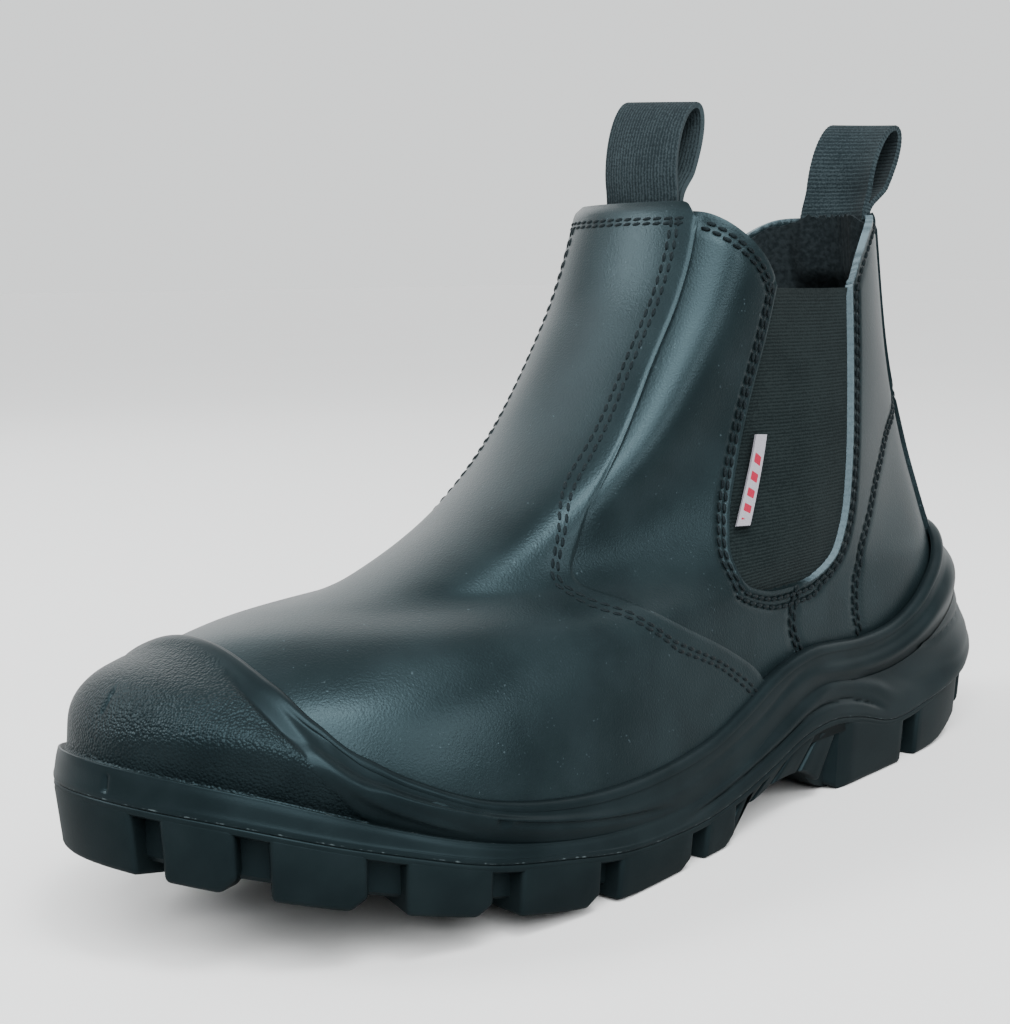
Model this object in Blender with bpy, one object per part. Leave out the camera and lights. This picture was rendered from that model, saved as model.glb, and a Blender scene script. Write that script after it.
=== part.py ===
"""Slip-on ankle work shoe, left foot, standing on its sole. Metres, +X to the toe, +Y outward, +Z up."""
import math

import bmesh
import bpy
import numpy as np

MM = 0.001

# Main sizes, millimetres
LENGTH = 305.0
WALL = 2.0
GAP = 0.4
TRAY_GAP = 0.55
OVERLAY_THICK = 1.0
STRIP_THICK = 1.0
ELASTIC_OUT = -0.5
ELASTIC_IN = -1.7
LIP_THICK = 3.4
LIP_BEAD = 0.7
LIP_RISE = 0.8
INSOLE_THICK = 4.0
COLUMNS = 56
UPPER_LEVELS = np.array([
    0.0, 0.03, 0.08, 0.13, 0.18, 0.23, 0.27, 0.31, 0.36, 0.42, 0.49, 0.56, 0.63, 0.70, 0.77, 0.84, 0.92, 1.0,
])
TERMS = np.arange(1, 6)
SINES = np.sin(np.outer(math.pi * TERMS / 6.0, TERMS))

# Level loops of the upper, bottom to collar: back and front point in side view, then half-widths
# at 7, 25, 50, 75 and 93 per cent of the way from back to front
UPPER_COLUMNS = ("level", "back_x", "back_z", "front_x", "front_z", "w07", "w25", "w50", "w75", "w93")
UPPER_ROWS = np.array([
    (0.00, -138.2, 30.0, 139.0, 40.0, 27.5, 36.0, 41.5, 49.0, 37.0),
    (0.12, -138.2, 40.0, 141.0, 48.0, 27.2, 36.0, 41.0, 46.3, 33.5),
    (0.24, -137.2, 47.0, 136.0, 57.0, 26.8, 35.6, 39.6, 42.1, 27.5),
    (0.32, -135.8, 52.0, 119.8, 63.6, 26.2, 34.8, 38.4, 38.0, 22.0),
    (0.40, -133.9, 57.0, 94.6, 66.4, 25.2, 33.8, 37.8, 33.3, 19.0),
    (0.50, -131.3, 63.0, 73.6, 71.3, 23.7, 32.3, 37.8, 29.7, 20.0),
    (0.60, -128.0, 73.0, 49.4, 81.9, 21.3, 30.5, 36.8, 28.2, 22.0),
    (0.72, -122.8, 90.0, 23.2, 100.6, 18.0, 28.2, 34.5, 28.7, 25.7),
    (0.84, -116.8, 115.0, 1.9, 128.3, 14.8, 26.4, 31.0, 30.1, 26.0),
    (1.00, -110.6, 157.6, -11.6, 158.6, 12.8, 23.4, 27.0, 31.4, 23.8),
])
# Left and right curve of the middle line: x, y
SWING = np.array([(-152.5, -1.3), (-80.0, -1.3), (0.0, 0.7), (60.0, 0.7), (100.0, -1.3), (152.5, -7.3)])
# Bottom edge of the upper: x, z
FEATHER = np.array([
    (-152.0, 30.0), (-120.0, 27.5), (-98.0, 26.0), (-70.0, 26.5), (-45.0, 27.5), (-20.0, 24.0), (7.0, 18.5),
    (31.0, 17.0), (65.0, 19.0), (88.0, 24.0), (110.0, 30.0), (139.0, 40.0), (152.0, 45.0),
])
FEATHER_FADE = 0.40
# Half-widths of the sole's outline at the same five stations
SOLE_WIDTHS = np.array([29.0, 40.3, 46.0, 53.0, 36.0])
# Side profile of the sole: x, z
PARTING = np.array([
    (-152.5, 29.0), (-144.0, 26.5), (-122.0, 20.5), (-98.0, 15.6), (-75.0, 14.5), (-60.0, 18.5), (-45.0, 21.0),
    (-30.0, 20.0), (-14.0, 15.8), (4.0, 12.0), (15.0, 10.6), (33.0, 10.5), (50.0, 11.6), (71.0, 15.2),
    (94.0, 19.5), (109.0, 24.0), (121.0, 27.7), (140.0, 34.0), (152.5, 37.5),
])
GROUND = np.array([
    (-152.5, 19.4), (-145.0, 15.2), (-130.0, 8.3), (-118.0, 3.5), (-107.0, 0.5), (-98.0, 0.0), (-90.0, 0.0),
    (0.0, 0.0), (30.0, 0.0), (46.0, 0.0), (60.0, 1.2), (73.0, 3.2), (94.0, 7.6), (110.0, 11.4), (125.0, 15.2),
    (142.0, 20.0), (152.5, 23.0),
])
BAND = np.array([
    (-152.5, 49.0), (-144.0, 46.0), (-125.0, 39.5), (-98.0, 31.5), (-79.0, 28.8), (-60.0, 29.0), (-40.0, 31.0),
    (-20.0, 26.5), (0.0, 19.5), (20.0, 16.4), (50.0, 16.6), (75.0, 19.8), (94.0, 24.2), (108.0, 28.9),
    (120.0, 33.5), (134.0, 39.0), (152.5, 45.0),
])
BAND_STEP = np.array([
    (-152.5, 1.6), (-90.0, 1.5), (-65.0, 0.5), (60.0, 0.4), (95.0, 0.8), (110.0, 1.2), (152.5, 1.3),
])
BAND_INSET = np.array([
    (-152.5, 6.6), (-125.0, 5.4), (-98.0, 3.8), (-79.0, 2.6), (-60.0, 2.0), (-20.0, 1.6), (60.0, 1.2),
    (152.5, 1.2),
])
# Top edge of the midsole's wall, which sweeps up over the toe as the guard's rim: x, z
LIP = np.array([
    (-152.5, 66.5), (-135.0, 65.6), (-127.0, 62.5), (-120.0, 58.8), (-112.0, 54.0), (-104.0, 49.8), (-97.0, 46.2),
    (-90.0, 43.4), (-82.0, 41.2), (-63.0, 39.8), (-47.0, 41.0), (-38.0, 41.6), (-30.0, 41.0), (-17.0, 38.2),
    (-4.0, 33.4), (10.0, 29.0), (35.0, 26.2), (69.0, 27.6), (85.0, 30.4), (91.0, 32.0), (102.0, 36.6),
    (112.0, 42.6), (119.5, 50.0), (123.2, 58.0), (124.6, 66.0), (125.6, 90.0),
])
# Edge of the vamp's strip and wing: level, angle on the outer side, angle on the inner side
VAMP_EDGE = np.array([
    (0.00, 1.41, 1.43), (0.09, 1.48, 1.48), (0.18, 1.56, 1.56), (0.24, 1.66, 1.63), (0.31, 1.84, 1.76),
    (0.38, 2.04, 1.95), (0.45, 2.23, 2.17), (0.51, 2.37, 2.35), (0.57, 2.50, 2.50), (0.63, 2.64, 2.57),
    (0.69, 2.73, 2.58), (0.77, 2.79, 2.55), (0.87, 2.77, 2.53), (0.94, 2.74, 2.54), (1.00, 2.73, 2.54),
])
# Edge of the strip over the back seam: level, angle
BACK_EDGE = np.array([(0.30, 0.40), (0.50, 0.40), (0.60, 0.39), (0.78, 0.42), (0.89, 0.47), (1.00, 0.52)])
# Side cut for the elastic, and the dip of the collar above it: x, z
GUSSET_FRONT = [
    (-34.0, 137.0), (-28.8, 126.0), (-21.5, 110.0), (-12.8, 89.5), (-7.2, 77.0), (-5.2, 69.5), (-8.0, 63.4),
]
GUSSET_BOTTOM = [(-16.0, 60.2), (-31.0, 58.8), (-44.5, 60.0)]
GUSSET_REAR = [(-53.0, 64.0), (-58.6, 72.0), (-63.6, 87.0), (-68.0, 108.0), (-73.0, 137.0)]
DIP_REAR = [(-79.5, 143.6), (-87.0, 149.4), (-96.0, 154.6), (-104.0, 157.6), (-108.0, 168.0)]
DIP_FRONT = [(-11.0, 168.0), (-14.5, 157.6), (-20.5, 153.0), (-27.5, 146.8), (-32.5, 141.0)]
GUSSET_WINDOW = (0.95, 2.30, 0.30, 0.96)
# Cuts between the lugs on the sole's edge: x, side, width, depth inward
LUG_CUTS = [
    (148.0, 1, 4.5, 12.0), (135.0, 1, 5.5, 15.0), (113.5, 1, 7.0, 20.0), (87.5, 1, 7.0, 25.0),
    (57.0, 1, 6.5, 26.0), (21.5, 1, 6.5, 26.0), (-89.0, 1, 5.5, 24.0), (-122.0, 1, 5.0, 16.0),
    (146.0, -1, 4.5, 12.0), (121.0, -1, 5.5, 16.0), (98.4, -1, 5.5, 20.0), (77.5, -1, 5.5, 25.0),
    (52.0, -1, 5.5, 26.0), (25.5, -1, 5.5, 26.0), (-75.4, -1, 5.5, 24.0), (-98.6, -1, 6.0, 22.0),
    (-127.0, -1, 4.5, 16.0),
]
# Shallow cuts that leave the ribs of the arch's side: x of each, width, depth inward
ARCH_RIBS = (-41.5, -32.0, -22.5, -13.0)
ARCH_RIB_CUT = (6.0, 2.6)
# Cross grooves along the middle of the tread: x, half-length
TREAD_CUTS = [
    (116.0, 15.0), (96.0, 19.0), (74.0, 20.0), (50.0, 20.0), (26.0, 18.0), (-66.0, 12.0), (-92.0, 12.0),
    (-114.0, 12.0),
]
TREAD_WIDTH = 5.0
TREAD_DEPTH = 4.0
LUG_ROOF = 3.2
ARCH_CUT = [
    (-50.5, -6.0), (-50.5, 1.0), (-47.0, 9.0), (-38.0, 11.6), (-26.0, 11.4), (-12.0, 8.4), (-3.0, 4.8), (4.0, -0.4),
    (4.4, -6.0),
]
SOLE_CHAMFER = 3.0
# Webbing loops: root at the collar, lean of the top, height, half bulge
LOOP_COLUMNS = ("root_x", "root_z", "lean", "height", "bulge", "tab")
LOOP_FRONT = (-15.6, 157.0, -12.5, 27.5, 10.0, 12.0)
LOOP_REAR = (-105.1, 155.5, -6.4, 29.0, 9.0, 12.0)
LOOP_HALF_WIDTH = 12.0
LOOP_THICK = 1.7
LOOP_STRAIGHT = 5.0
# Woven tag on the outer elastic, corners as level and angle
TAG_LEVELS = (0.585, 0.73)
TAG_ANGLES_LOW = (1.800, 1.858)
TAG_ANGLES_HIGH = (1.878, 1.942)


def smooth(x, table_x, table_y):
    """Cubic curve through a table, slopes from the neighbours."""
    xs = np.asarray(table_x, float)
    ys = np.asarray(table_y, float)
    x = np.clip(np.asarray(x, float), xs[0], xs[-1])
    slope = np.gradient(ys, xs, axis=0)
    i = np.clip(np.searchsorted(xs, x, side="right") - 1, 0, len(xs) - 2)
    span = xs[i + 1] - xs[i]
    t = (x - xs[i]) / span
    if ys.ndim > 1:
        span = span[..., None]
        t = t[..., None]
    start = (2 * t ** 3 - 3 * t ** 2 + 1) * ys[i] + (t ** 3 - 2 * t ** 2 + t) * span * slope[i]
    return start + (-2 * t ** 3 + 3 * t ** 2) * ys[i + 1] + (t ** 3 - t ** 2) * span * slope[i + 1]


def along(x, table):
    """Value of a two-column table at x."""
    return smooth(x, table[:, 0], table[:, 1])


def half_width(angle, widths):
    """Half-width of a loop at an angle, from its five station widths."""
    flat = widths.reshape(-1, 5)
    series = np.linalg.solve(SINES, flat.T).T.reshape(widths.shape)
    return np.sum(series * np.sin(np.abs(angle)[..., None] * TERMS), -1)


def upper_point(angle, level):
    """Point on the outside of the upper: angle 0 at the back, pi at the front, plus on the outer side."""
    angle, level = np.broadcast_arrays(np.asarray(angle, float), np.asarray(level, float))
    angle = np.mod(angle + math.pi, 2 * math.pi) - math.pi
    row = smooth(level, UPPER_ROWS[:, 0], UPPER_ROWS[:, 1:])
    t = (1 - np.cos(angle)) / 2
    x = row[..., 0] + (row[..., 2] - row[..., 0]) * t
    z = row[..., 1] + (row[..., 3] - row[..., 1]) * t
    fade = np.clip(1 - level / FEATHER_FADE, 0, 1) ** 2
    straight = UPPER_ROWS[0, 2] + (UPPER_ROWS[0, 4] - UPPER_ROWS[0, 2]) * t
    z = z + fade * (along(x, FEATHER) - straight)
    y = np.sign(angle) * half_width(angle, row[..., 4:]) + along(x, SWING)
    return np.stack([x, y, z], -1)


def level_rate(angle, level):
    """Change of the upper's point with the level."""
    step = 1e-3
    low = np.clip(level - step, 0, 1)
    high = np.clip(level + step, 0, 1)
    return (upper_point(angle, high) - upper_point(angle, low)) / (high - low)[..., None]


def upper_shell(angle, level, offset):
    """Point at an offset from the outside of the upper, plus outward."""
    angle, level, offset = np.broadcast_arrays(*(np.asarray(a, float) for a in (angle, level, offset)))
    step = 1e-3
    across = upper_point(angle + step, level) - upper_point(angle - step, level)
    normal = np.cross(level_rate(angle, level), across)
    normal = normal / np.linalg.norm(normal, axis=-1, keepdims=True)
    return upper_point(angle, level) + normal * offset[..., None]


def level_step(angle, level, distance):
    """Change of level that moves a point by a distance along the upper."""
    return distance / np.linalg.norm(level_rate(angle, level), axis=-1)


def sole_edge(angle, inset):
    """Plan point on the sole's outline, moved inward by inset."""
    angle, inset = np.broadcast_arrays(np.asarray(angle, float), np.asarray(inset, float))

    def plan(a):
        a = np.mod(a + math.pi, 2 * math.pi) - math.pi
        x = -LENGTH / 2 + LENGTH * (1 - np.cos(a)) / 2
        widths = np.broadcast_to(SOLE_WIDTHS, a.shape + (5,))
        return np.stack([x, np.sign(a) * half_width(a, widths) + along(x, SWING)], -1)

    tangent = plan(angle + 1e-3) - plan(angle - 1e-3)
    tangent = tangent / np.linalg.norm(tangent, axis=-1, keepdims=True)
    inward = np.stack([tangent[..., 1], -tangent[..., 0]], -1)
    return plan(angle) + inward * inset[..., None]


def lip_level(angle):
    """Level at which the midsole's wall ends."""
    levels = np.linspace(0.0, 0.62, 311)
    grid_a, grid_l = np.meshgrid(angle, levels)
    p = upper_shell(grid_a, grid_l, LIP_THICK)
    above = p[..., 2] - along(p[..., 0], LIP)
    above[p[..., 0] > LIP[-1, 0]] = -10.0
    first = np.argmax(above > 0, axis=0)
    cols = np.arange(len(angle))
    a0 = above[first - 1, cols]
    a1 = above[first, cols]
    return levels[first - 1] + (levels[first] - levels[first - 1]) * a0 / (a0 - a1)


def lip_top(angle, lip, clearance):
    """Level of the lip's rounded top plus a clearance, measured square to the lip's run."""
    run = (np.roll(lip, -1) - np.roll(lip, 1)) / (4 * math.pi / COLUMNS)
    step = 1e-3
    across = (upper_point(angle + step, lip) - upper_point(angle - step, lip)) / (2 * step)
    slope = run * np.linalg.norm(level_rate(angle, lip), axis=-1) / np.linalg.norm(across, axis=-1)
    return lip + level_step(angle, lip, LIP_RISE + clearance * np.sqrt(1 + slope ** 2))


def column_angles():
    """Angles of the columns shared by every ring."""
    return -math.pi + 2 * math.pi * np.arange(COLUMNS) / COLUMNS


def make_object(name, verts, faces, colour, roughness):
    """Closed mesh object with its own material, sizes given in millimetres."""
    mesh = bpy.data.meshes.new(name)
    mesh.from_pydata([tuple(float(c) * MM for c in v) for v in verts], [], faces)
    bm = bmesh.new()
    bm.from_mesh(mesh)
    bmesh.ops.recalc_face_normals(bm, faces=bm.faces)
    bm.to_mesh(mesh)
    bm.free()
    obj = bpy.data.objects.new(name, mesh)
    bpy.context.scene.collection.objects.link(obj)
    material = bpy.data.materials.new(name + "_material")
    material.use_nodes = True
    shader = material.node_tree.nodes["Principled BSDF"]
    shader.inputs["Base Color"].default_value = (*colour, 1.0)
    shader.inputs["Roughness"].default_value = roughness
    mesh.materials.append(material)
    return obj


def ring_faces(rows, columns, joined):
    """Quads between neighbouring rings; joined closes the last ring to the first."""
    faces = []
    for r in range(rows if joined else rows - 1):
        s = (r + 1) % rows
        for c in range(columns):
            d = (c + 1) % columns
            faces.append((r * columns + c, r * columns + d, s * columns + d, s * columns + c))
    return faces


def ladder_faces(start, columns):
    """Rungs across a ring, from the outer side to the inner side."""
    half = columns // 2
    faces = [(start, start + 1, start + columns - 1)]
    for c in range(1, half - 1):
        faces.append((start + c, start + c + 1, start + columns - c - 1, start + columns - c))
    faces.append((start + half - 1, start + half, start + half + 1))
    return faces


def ring_solid(name, rings, joined, colour, roughness):
    """Solid from a stack of rings: a tube when joined, else closed by a ladder at both ends."""
    rings = np.asarray(rings)
    rows, columns = rings.shape[:2]
    faces = ring_faces(rows, columns, joined)
    if not joined:
        faces += ladder_faces(0, columns)
        faces += ladder_faces((rows - 1) * columns, columns)
    return make_object(name, rings.reshape(-1, 3), faces, colour, roughness)


def slab_solid(name, outer, inner, colour, roughness):
    """Solid between two grids of points."""
    rows, columns = outer.shape[:2]
    size = rows * columns
    faces = []
    for r in range(rows - 1):
        for c in range(columns - 1):
            a = r * columns + c
            quad = (a, a + 1, a + columns + 1, a + columns)
            faces.append(quad)
            faces.append(tuple(size + k for k in reversed(quad)))
    rim = [c for c in range(columns)]
    rim += [r * columns + columns - 1 for r in range(1, rows)]
    rim += [(rows - 1) * columns + c for c in range(columns - 2, -1, -1)]
    rim += [r * columns for r in range(rows - 2, 0, -1)]
    for a, b in zip(rim, rim[1:] + rim[:1]):
        faces.append((b, a, size + a, size + b))
    verts = np.concatenate([outer.reshape(-1, 3), inner.reshape(-1, 3)])
    return make_object(name, verts, faces, colour, roughness)


def rounded(points, per_span):
    """Curve through corner points, with points added in every span."""
    p = np.asarray(points, float)
    n = len(p)
    out = []
    for i in range(n - 1):
        before = p[max(i - 1, 0)]
        after = p[min(i + 2, n - 1)]
        for k in range(per_span):
            t = k / per_span
            m0 = (p[i + 1] - before) / 2
            m1 = (after - p[i]) / 2
            q = (2 * t ** 3 - 3 * t ** 2 + 1) * p[i] + (t ** 3 - 2 * t ** 2 + t) * m0
            out.append(q + (-2 * t ** 3 + 3 * t ** 2) * p[i + 1] + (t ** 3 - t ** 2) * m1)
    out.append(p[-1])
    return np.array(out)


def shrink(outline, distance):
    """Closed side-view outline moved inward by a distance."""
    p = np.asarray(outline)
    tangent = np.roll(p, -1, 0) - np.roll(p, 1, 0)
    tangent = tangent / np.linalg.norm(tangent, axis=1, keepdims=True)
    normal = np.stack([-tangent[:, 1], tangent[:, 0]], 1)
    area = np.sum(p[:, 0] * np.roll(p[:, 1], -1) - p[:, 1] * np.roll(p[:, 0], -1))
    return p + normal * distance * np.sign(area)


def side_prism(name, outline, y_low, y_high):
    """Cutter: a side-view outline swept across the shoe."""
    n = len(outline)
    verts = [(x, y_low, z) for x, z in outline] + [(x, y_high, z) for x, z in outline]
    faces = [tuple(range(n)), tuple(reversed(range(n, 2 * n)))]
    faces += [(i, n + i, n + (i + 1) % n, (i + 1) % n) for i in range(n)]
    cutter = make_object(name, verts, faces, (0.5, 0.5, 0.5), 0.5)
    cutter.hide_render = True
    cutter.display_type = "WIRE"
    return cutter


def apply_cut(target, cutter, operation):
    """Boolean of the target with a cutter, applied, and the cutter removed."""
    modifier = target.modifiers.new("cut", "BOOLEAN")
    modifier.operation = operation
    modifier.solver = "EXACT"
    modifier.object = cutter
    depsgraph = bpy.context.evaluated_depsgraph_get()
    result = bpy.data.meshes.new_from_object(target.evaluated_get(depsgraph))
    target.modifiers.remove(modifier)
    material = target.data.materials[0]
    target.data = result
    result.materials.clear()
    result.materials.append(material)
    for polygon in result.polygons:
        polygon.material_index = 0
    bpy.data.objects.remove(cutter, do_unlink=True)


def gusset_outline():
    """Side outline of the elastic panel, its top corners drawn in a little."""
    outline = rounded(GUSSET_FRONT + GUSSET_BOTTOM + GUSSET_REAR, 3)
    outline[0] += (-0.5, -0.5)
    outline[-1] += (0.8, -0.5)
    return outline


def collar_cut_outline():
    """Side outline of the cut for the elastic together with the dip of the collar."""
    return rounded(DIP_FRONT + GUSSET_FRONT + GUSSET_BOTTOM + GUSSET_REAR + DIP_REAR, 3)


def build_upper():
    """Hollow upper, open at the collar and underneath, with both sides cut for the elastic."""
    angle = column_angles()
    outer = [upper_shell(angle, np.full(COLUMNS, v), 0.0) for v in UPPER_LEVELS]
    inside = np.append(UPPER_LEVELS[:-1:2], UPPER_LEVELS[-1])
    inner = [upper_shell(angle, np.full(COLUMNS, v), -WALL) for v in inside]
    inner[0][:, 2] = along(inner[0][:, 0], FEATHER)
    obj = ring_solid("upper", outer + inner[::-1], True, (0.035, 0.04, 0.045), 0.42)
    cutter = side_prism("upper_cutter", collar_cut_outline(), -70.0, 70.0)
    apply_cut(obj, cutter, "DIFFERENCE")


def build_gusset(name, side):
    """Ribbed elastic panel of one side, set into the cut of the upper."""
    low, high, bottom, top = GUSSET_WINDOW
    angles = side * np.linspace(low, high, 10)
    levels = np.linspace(bottom, top, 11)
    grid_a, grid_l = np.meshgrid(angles, levels)
    outer = upper_shell(grid_a, grid_l, ELASTIC_OUT)
    inner = upper_shell(grid_a, grid_l, ELASTIC_IN)
    obj = slab_solid(name, outer, inner, (0.02, 0.022, 0.024), 0.85)
    outline = shrink(gusset_outline(), GAP + 0.15)
    y_low, y_high = (5.0, 70.0) if side > 0 else (-70.0, -5.0)
    apply_cut(obj, side_prism(name + "_cutter", outline, y_low, y_high), "INTERSECT")


def lip_cutter(clearance):
    """Cutter: all that lies below the midsole's lip, with a clearance above it."""
    angle = column_angles()
    lip = lip_level(angle)
    over = lip_top(angle, lip, clearance)
    far = np.column_stack([sole_edge(angle, -20.0), np.full(COLUMNS, -10.0)])
    rings = [upper_shell(angle, over, -6.0), upper_shell(angle, over, 12.0)]
    rings += [upper_shell(angle, 0.45 * over, 16.0), far]
    cutter = ring_solid("lip_cutter", rings, False, (0.5, 0.5, 0.5), 0.5)
    cutter.hide_render = True
    cutter.display_type = "WIRE"
    return cutter


def behind_vamp(column):
    """Side outline of all that lies behind the vamp's raw edge on one side."""
    level = np.linspace(0.02, 1.0, 40)
    angle = smooth(level, VAMP_EDGE[:, 0], VAMP_EDGE[:, column])
    edge = upper_shell(angle, level, GAP + OVERLAY_THICK)[:, (0, 2)]
    beyond = np.array([(edge[-1, 0], 175.0), (-90.0, 175.0), (-90.0, -20.0), (edge[0, 0], -20.0)])
    return np.concatenate([edge, beyond])


def build_vamp_overlay():
    """Vamp with its front strip and wings, lapped over the quarters."""
    angle = np.mod(column_angles(), 2 * math.pi)
    angle = np.sort(angle[np.abs(angle - math.pi) < math.pi - VAMP_EDGE[0, 1] + 0.15])
    level = np.append(UPPER_LEVELS[1:-1], 0.997)
    grid_a, grid_l = np.meshgrid(angle, level)
    outer = upper_shell(grid_a, grid_l, GAP + OVERLAY_THICK)
    inner = upper_shell(grid_a, grid_l, GAP)
    obj = slab_solid("vamp_overlay", outer, inner, (0.035, 0.04, 0.045), 0.42)
    apply_cut(obj, side_prism("vamp_cutter_outer", behind_vamp(1), 5.0, 80.0), "DIFFERENCE")
    apply_cut(obj, side_prism("vamp_cutter_inner", behind_vamp(2), -80.0, -5.0), "DIFFERENCE")
    apply_cut(obj, lip_cutter(0.8), "DIFFERENCE")


def build_heel_strip():
    """Strip over the back seam, from the midsole's lip to the collar."""
    share = np.linspace(-1.0, 1.0, 9)
    height = np.linspace(0.0, 1.0, 14)
    grid_s, grid_h = np.meshgrid(share, height)
    angle = 0.4 * grid_s
    level = grid_h.copy()
    for _ in range(6):
        low = lip_level(angle.ravel())
        low = (low + level_step(angle.ravel(), low, LIP_RISE + 0.7)).reshape(angle.shape)
        level = low + grid_h * (0.997 - low)
        angle = along(level, BACK_EDGE) * grid_s
    outer = upper_shell(angle, level, GAP + STRIP_THICK)
    inner = upper_shell(angle, level, GAP)
    slab_solid("heel_strip", outer, inner, (0.035, 0.04, 0.045), 0.42)


def wall_ring(angle, z_table, inset, rise):
    """Ring on the sole's outline at a height table plus a rise."""
    plan = sole_edge(angle, inset)
    z = along(plan[:, 0], z_table) + rise
    return np.column_stack([plan, z])


def build_midsole():
    """Moulded midsole: tray, flared stepped wall, rounded lip, and the guard over the toe."""
    angle = column_angles()
    lip = lip_level(angle)
    plan = sole_edge(angle, 0.0)
    inset = along(plan[:, 0], BAND_INSET)
    step = along(plan[:, 0], BAND_STEP)
    rings = [wall_ring(angle, PARTING, 0.6, 0.0), wall_ring(angle, PARTING, 0.0, 1.2)]
    for share in (0.35, 0.7):
        side = sole_edge(angle, inset * share ** 1.3)
        height = (1 - share) * along(side[:, 0], PARTING) + share * along(side[:, 0], BAND)
        rings.append(np.column_stack([side, height]))
    rings.append(wall_ring(angle, BAND, inset, -0.7))
    shelf = wall_ring(angle, BAND, inset + step, 0.4)
    rings.append(shelf)
    # Wall above the step follows the upper, thinning to the lip
    levels = np.linspace(0.0, 0.5, 251)
    grid_a, grid_l = np.meshgrid(angle, levels)
    heights = upper_point(grid_a, grid_l)[..., 2]
    start = np.array([np.interp(shelf[c, 2], heights[:, c], levels) for c in range(COLUMNS)])
    start = np.minimum(start, 0.6 * lip)
    root = np.linalg.norm(shelf - upper_point(angle, start), axis=1)
    for share in (0.35, 0.65, 0.86):
        thick = LIP_THICK + (root - LIP_THICK) * (1 - share) ** 1.7
        rings.append(upper_shell(angle, start + (lip - start) * share, thick))
    near = lip - level_step(angle, lip, 1.4)
    over = lip + level_step(angle, lip, LIP_RISE)
    rings.append(upper_shell(angle, near, LIP_THICK + LIP_BEAD))
    rings.append(upper_shell(angle, lip, LIP_THICK))
    rings.append(upper_shell(angle, over, 0.6 * LIP_THICK))
    rings.append(upper_shell(angle, over, GAP + 0.5))
    for share in np.linspace(0.97, 0.09, 9):
        rings.append(upper_shell(angle, lip * share, TRAY_GAP))
    bottom = upper_shell(angle, np.zeros(COLUMNS), TRAY_GAP)
    bottom[:, 2] = along(bottom[:, 0], FEATHER) - GAP
    rings.append(bottom)
    ring_solid("midsole", rings, False, (0.025, 0.027, 0.03), 0.5)


def lug_cutter():
    """Boxes that part the lugs along both edges of the sole."""
    verts = []
    faces = []
    angles = np.linspace(0.0, math.pi, 721)
    box = [(0, 1, 3, 2), (4, 6, 7, 5), (0, 4, 5, 1), (2, 3, 7, 6), (0, 2, 6, 4), (1, 5, 7, 3)]
    ribs = [(x, side, *ARCH_RIB_CUT) for side in (1, -1) for x in ARCH_RIBS]
    for x, side, width, depth in LUG_CUTS + ribs:
        plan = sole_edge(side * angles, 0.0)
        k = int(np.argmin(np.abs(plan[:, 0] - x)))
        edge = plan[k]
        inward = sole_edge(side * angles, 1.0)[k] - edge
        inward = inward / np.linalg.norm(inward)
        across = np.array([-inward[1], inward[0]])
        first = len(verts)
        for reach in (-6.0, depth):
            for sidestep in (-width / 2, width / 2):
                q = edge + inward * reach + across * sidestep
                roof = along(edge[0] + inward[0] * reach, PARTING) - LUG_ROOF
                verts.append((q[0], q[1], -8.0))
                verts.append((q[0], q[1], float(roof)))
        faces += [tuple(first + i for i in f) for f in box]
    for x, reach in TREAD_CUTS:
        first = len(verts)
        middle = float(along(x, SWING))
        for y in (middle - reach, middle + reach):
            for sidestep in (-TREAD_WIDTH / 2, TREAD_WIDTH / 2):
                verts.append((x + sidestep, y, -8.0))
                verts.append((x + sidestep, y, float(along(x, GROUND)) + TREAD_DEPTH))
        faces += [tuple(first + i for i in f) for f in box]
    cutter = make_object("lug_cutter", verts, faces, (0.5, 0.5, 0.5), 0.5)
    cutter.hide_render = True
    cutter.display_type = "WIRE"
    return cutter


def build_outsole():
    """Rubber outsole with lugs, raised arch, toe spring and bevelled heel."""
    angle = column_angles()
    plan = sole_edge(angle, 0.0)
    top = wall_ring(angle, PARTING, 0.8, -GAP)
    ground = np.maximum(along(plan[:, 0], GROUND), 0.0)
    rings = [top, np.column_stack([plan, along(plan[:, 0], PARTING) - 1.4])]
    rings.append(np.column_stack([sole_edge(angle, 0.6), ground + SOLE_CHAMFER]))
    inner = sole_edge(angle, 2.8)
    rings.append(np.column_stack([inner, np.maximum(along(inner[:, 0], GROUND), 0.0)]))
    obj = ring_solid("outsole", rings, False, (0.02, 0.021, 0.023), 0.6)
    apply_cut(obj, side_prism("arch_cutter", rounded(ARCH_CUT, 2), -80.0, 80.0), "DIFFERENCE")
    apply_cut(obj, lug_cutter(), "DIFFERENCE")


def build_insole():
    """Footbed inside the upper."""
    angle = column_angles()
    low = upper_shell(angle, np.full(COLUMNS, 0.005), -WALL - 0.6)
    low[:, 2] = along(low[:, 0], FEATHER)
    high = upper_shell(angle, np.full(COLUMNS, 0.05), -WALL - 0.9)
    high[:, 2] = along(high[:, 0], FEATHER) + INSOLE_THICK
    ring_solid("insole", [low, high], False, (0.05, 0.05, 0.055), 0.9)


def loop_section(row):
    """Side-view chains of a webbing loop: outside and inside, from one root to the other."""
    root_x, root_z, lean, height, bulge, tab = row
    turn = np.linspace(0.62, 2 * math.pi - 0.62, 15)
    rise = (1 - np.cos(turn)) / 2
    x = root_x + lean * rise ** 1.2 + bulge * np.sin(turn) * np.sin(turn / 2) ** 0.8
    z = root_z + height * rise
    path = np.stack([x, z], 1)
    tangent = np.gradient(path, axis=0)
    tangent = tangent / np.linalg.norm(tangent, axis=1, keepdims=True)
    normal = np.stack([-tangent[:, 1], tangent[:, 0]], 1)
    return path + normal * LOOP_THICK / 2, path - normal * LOOP_THICK / 2


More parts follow.
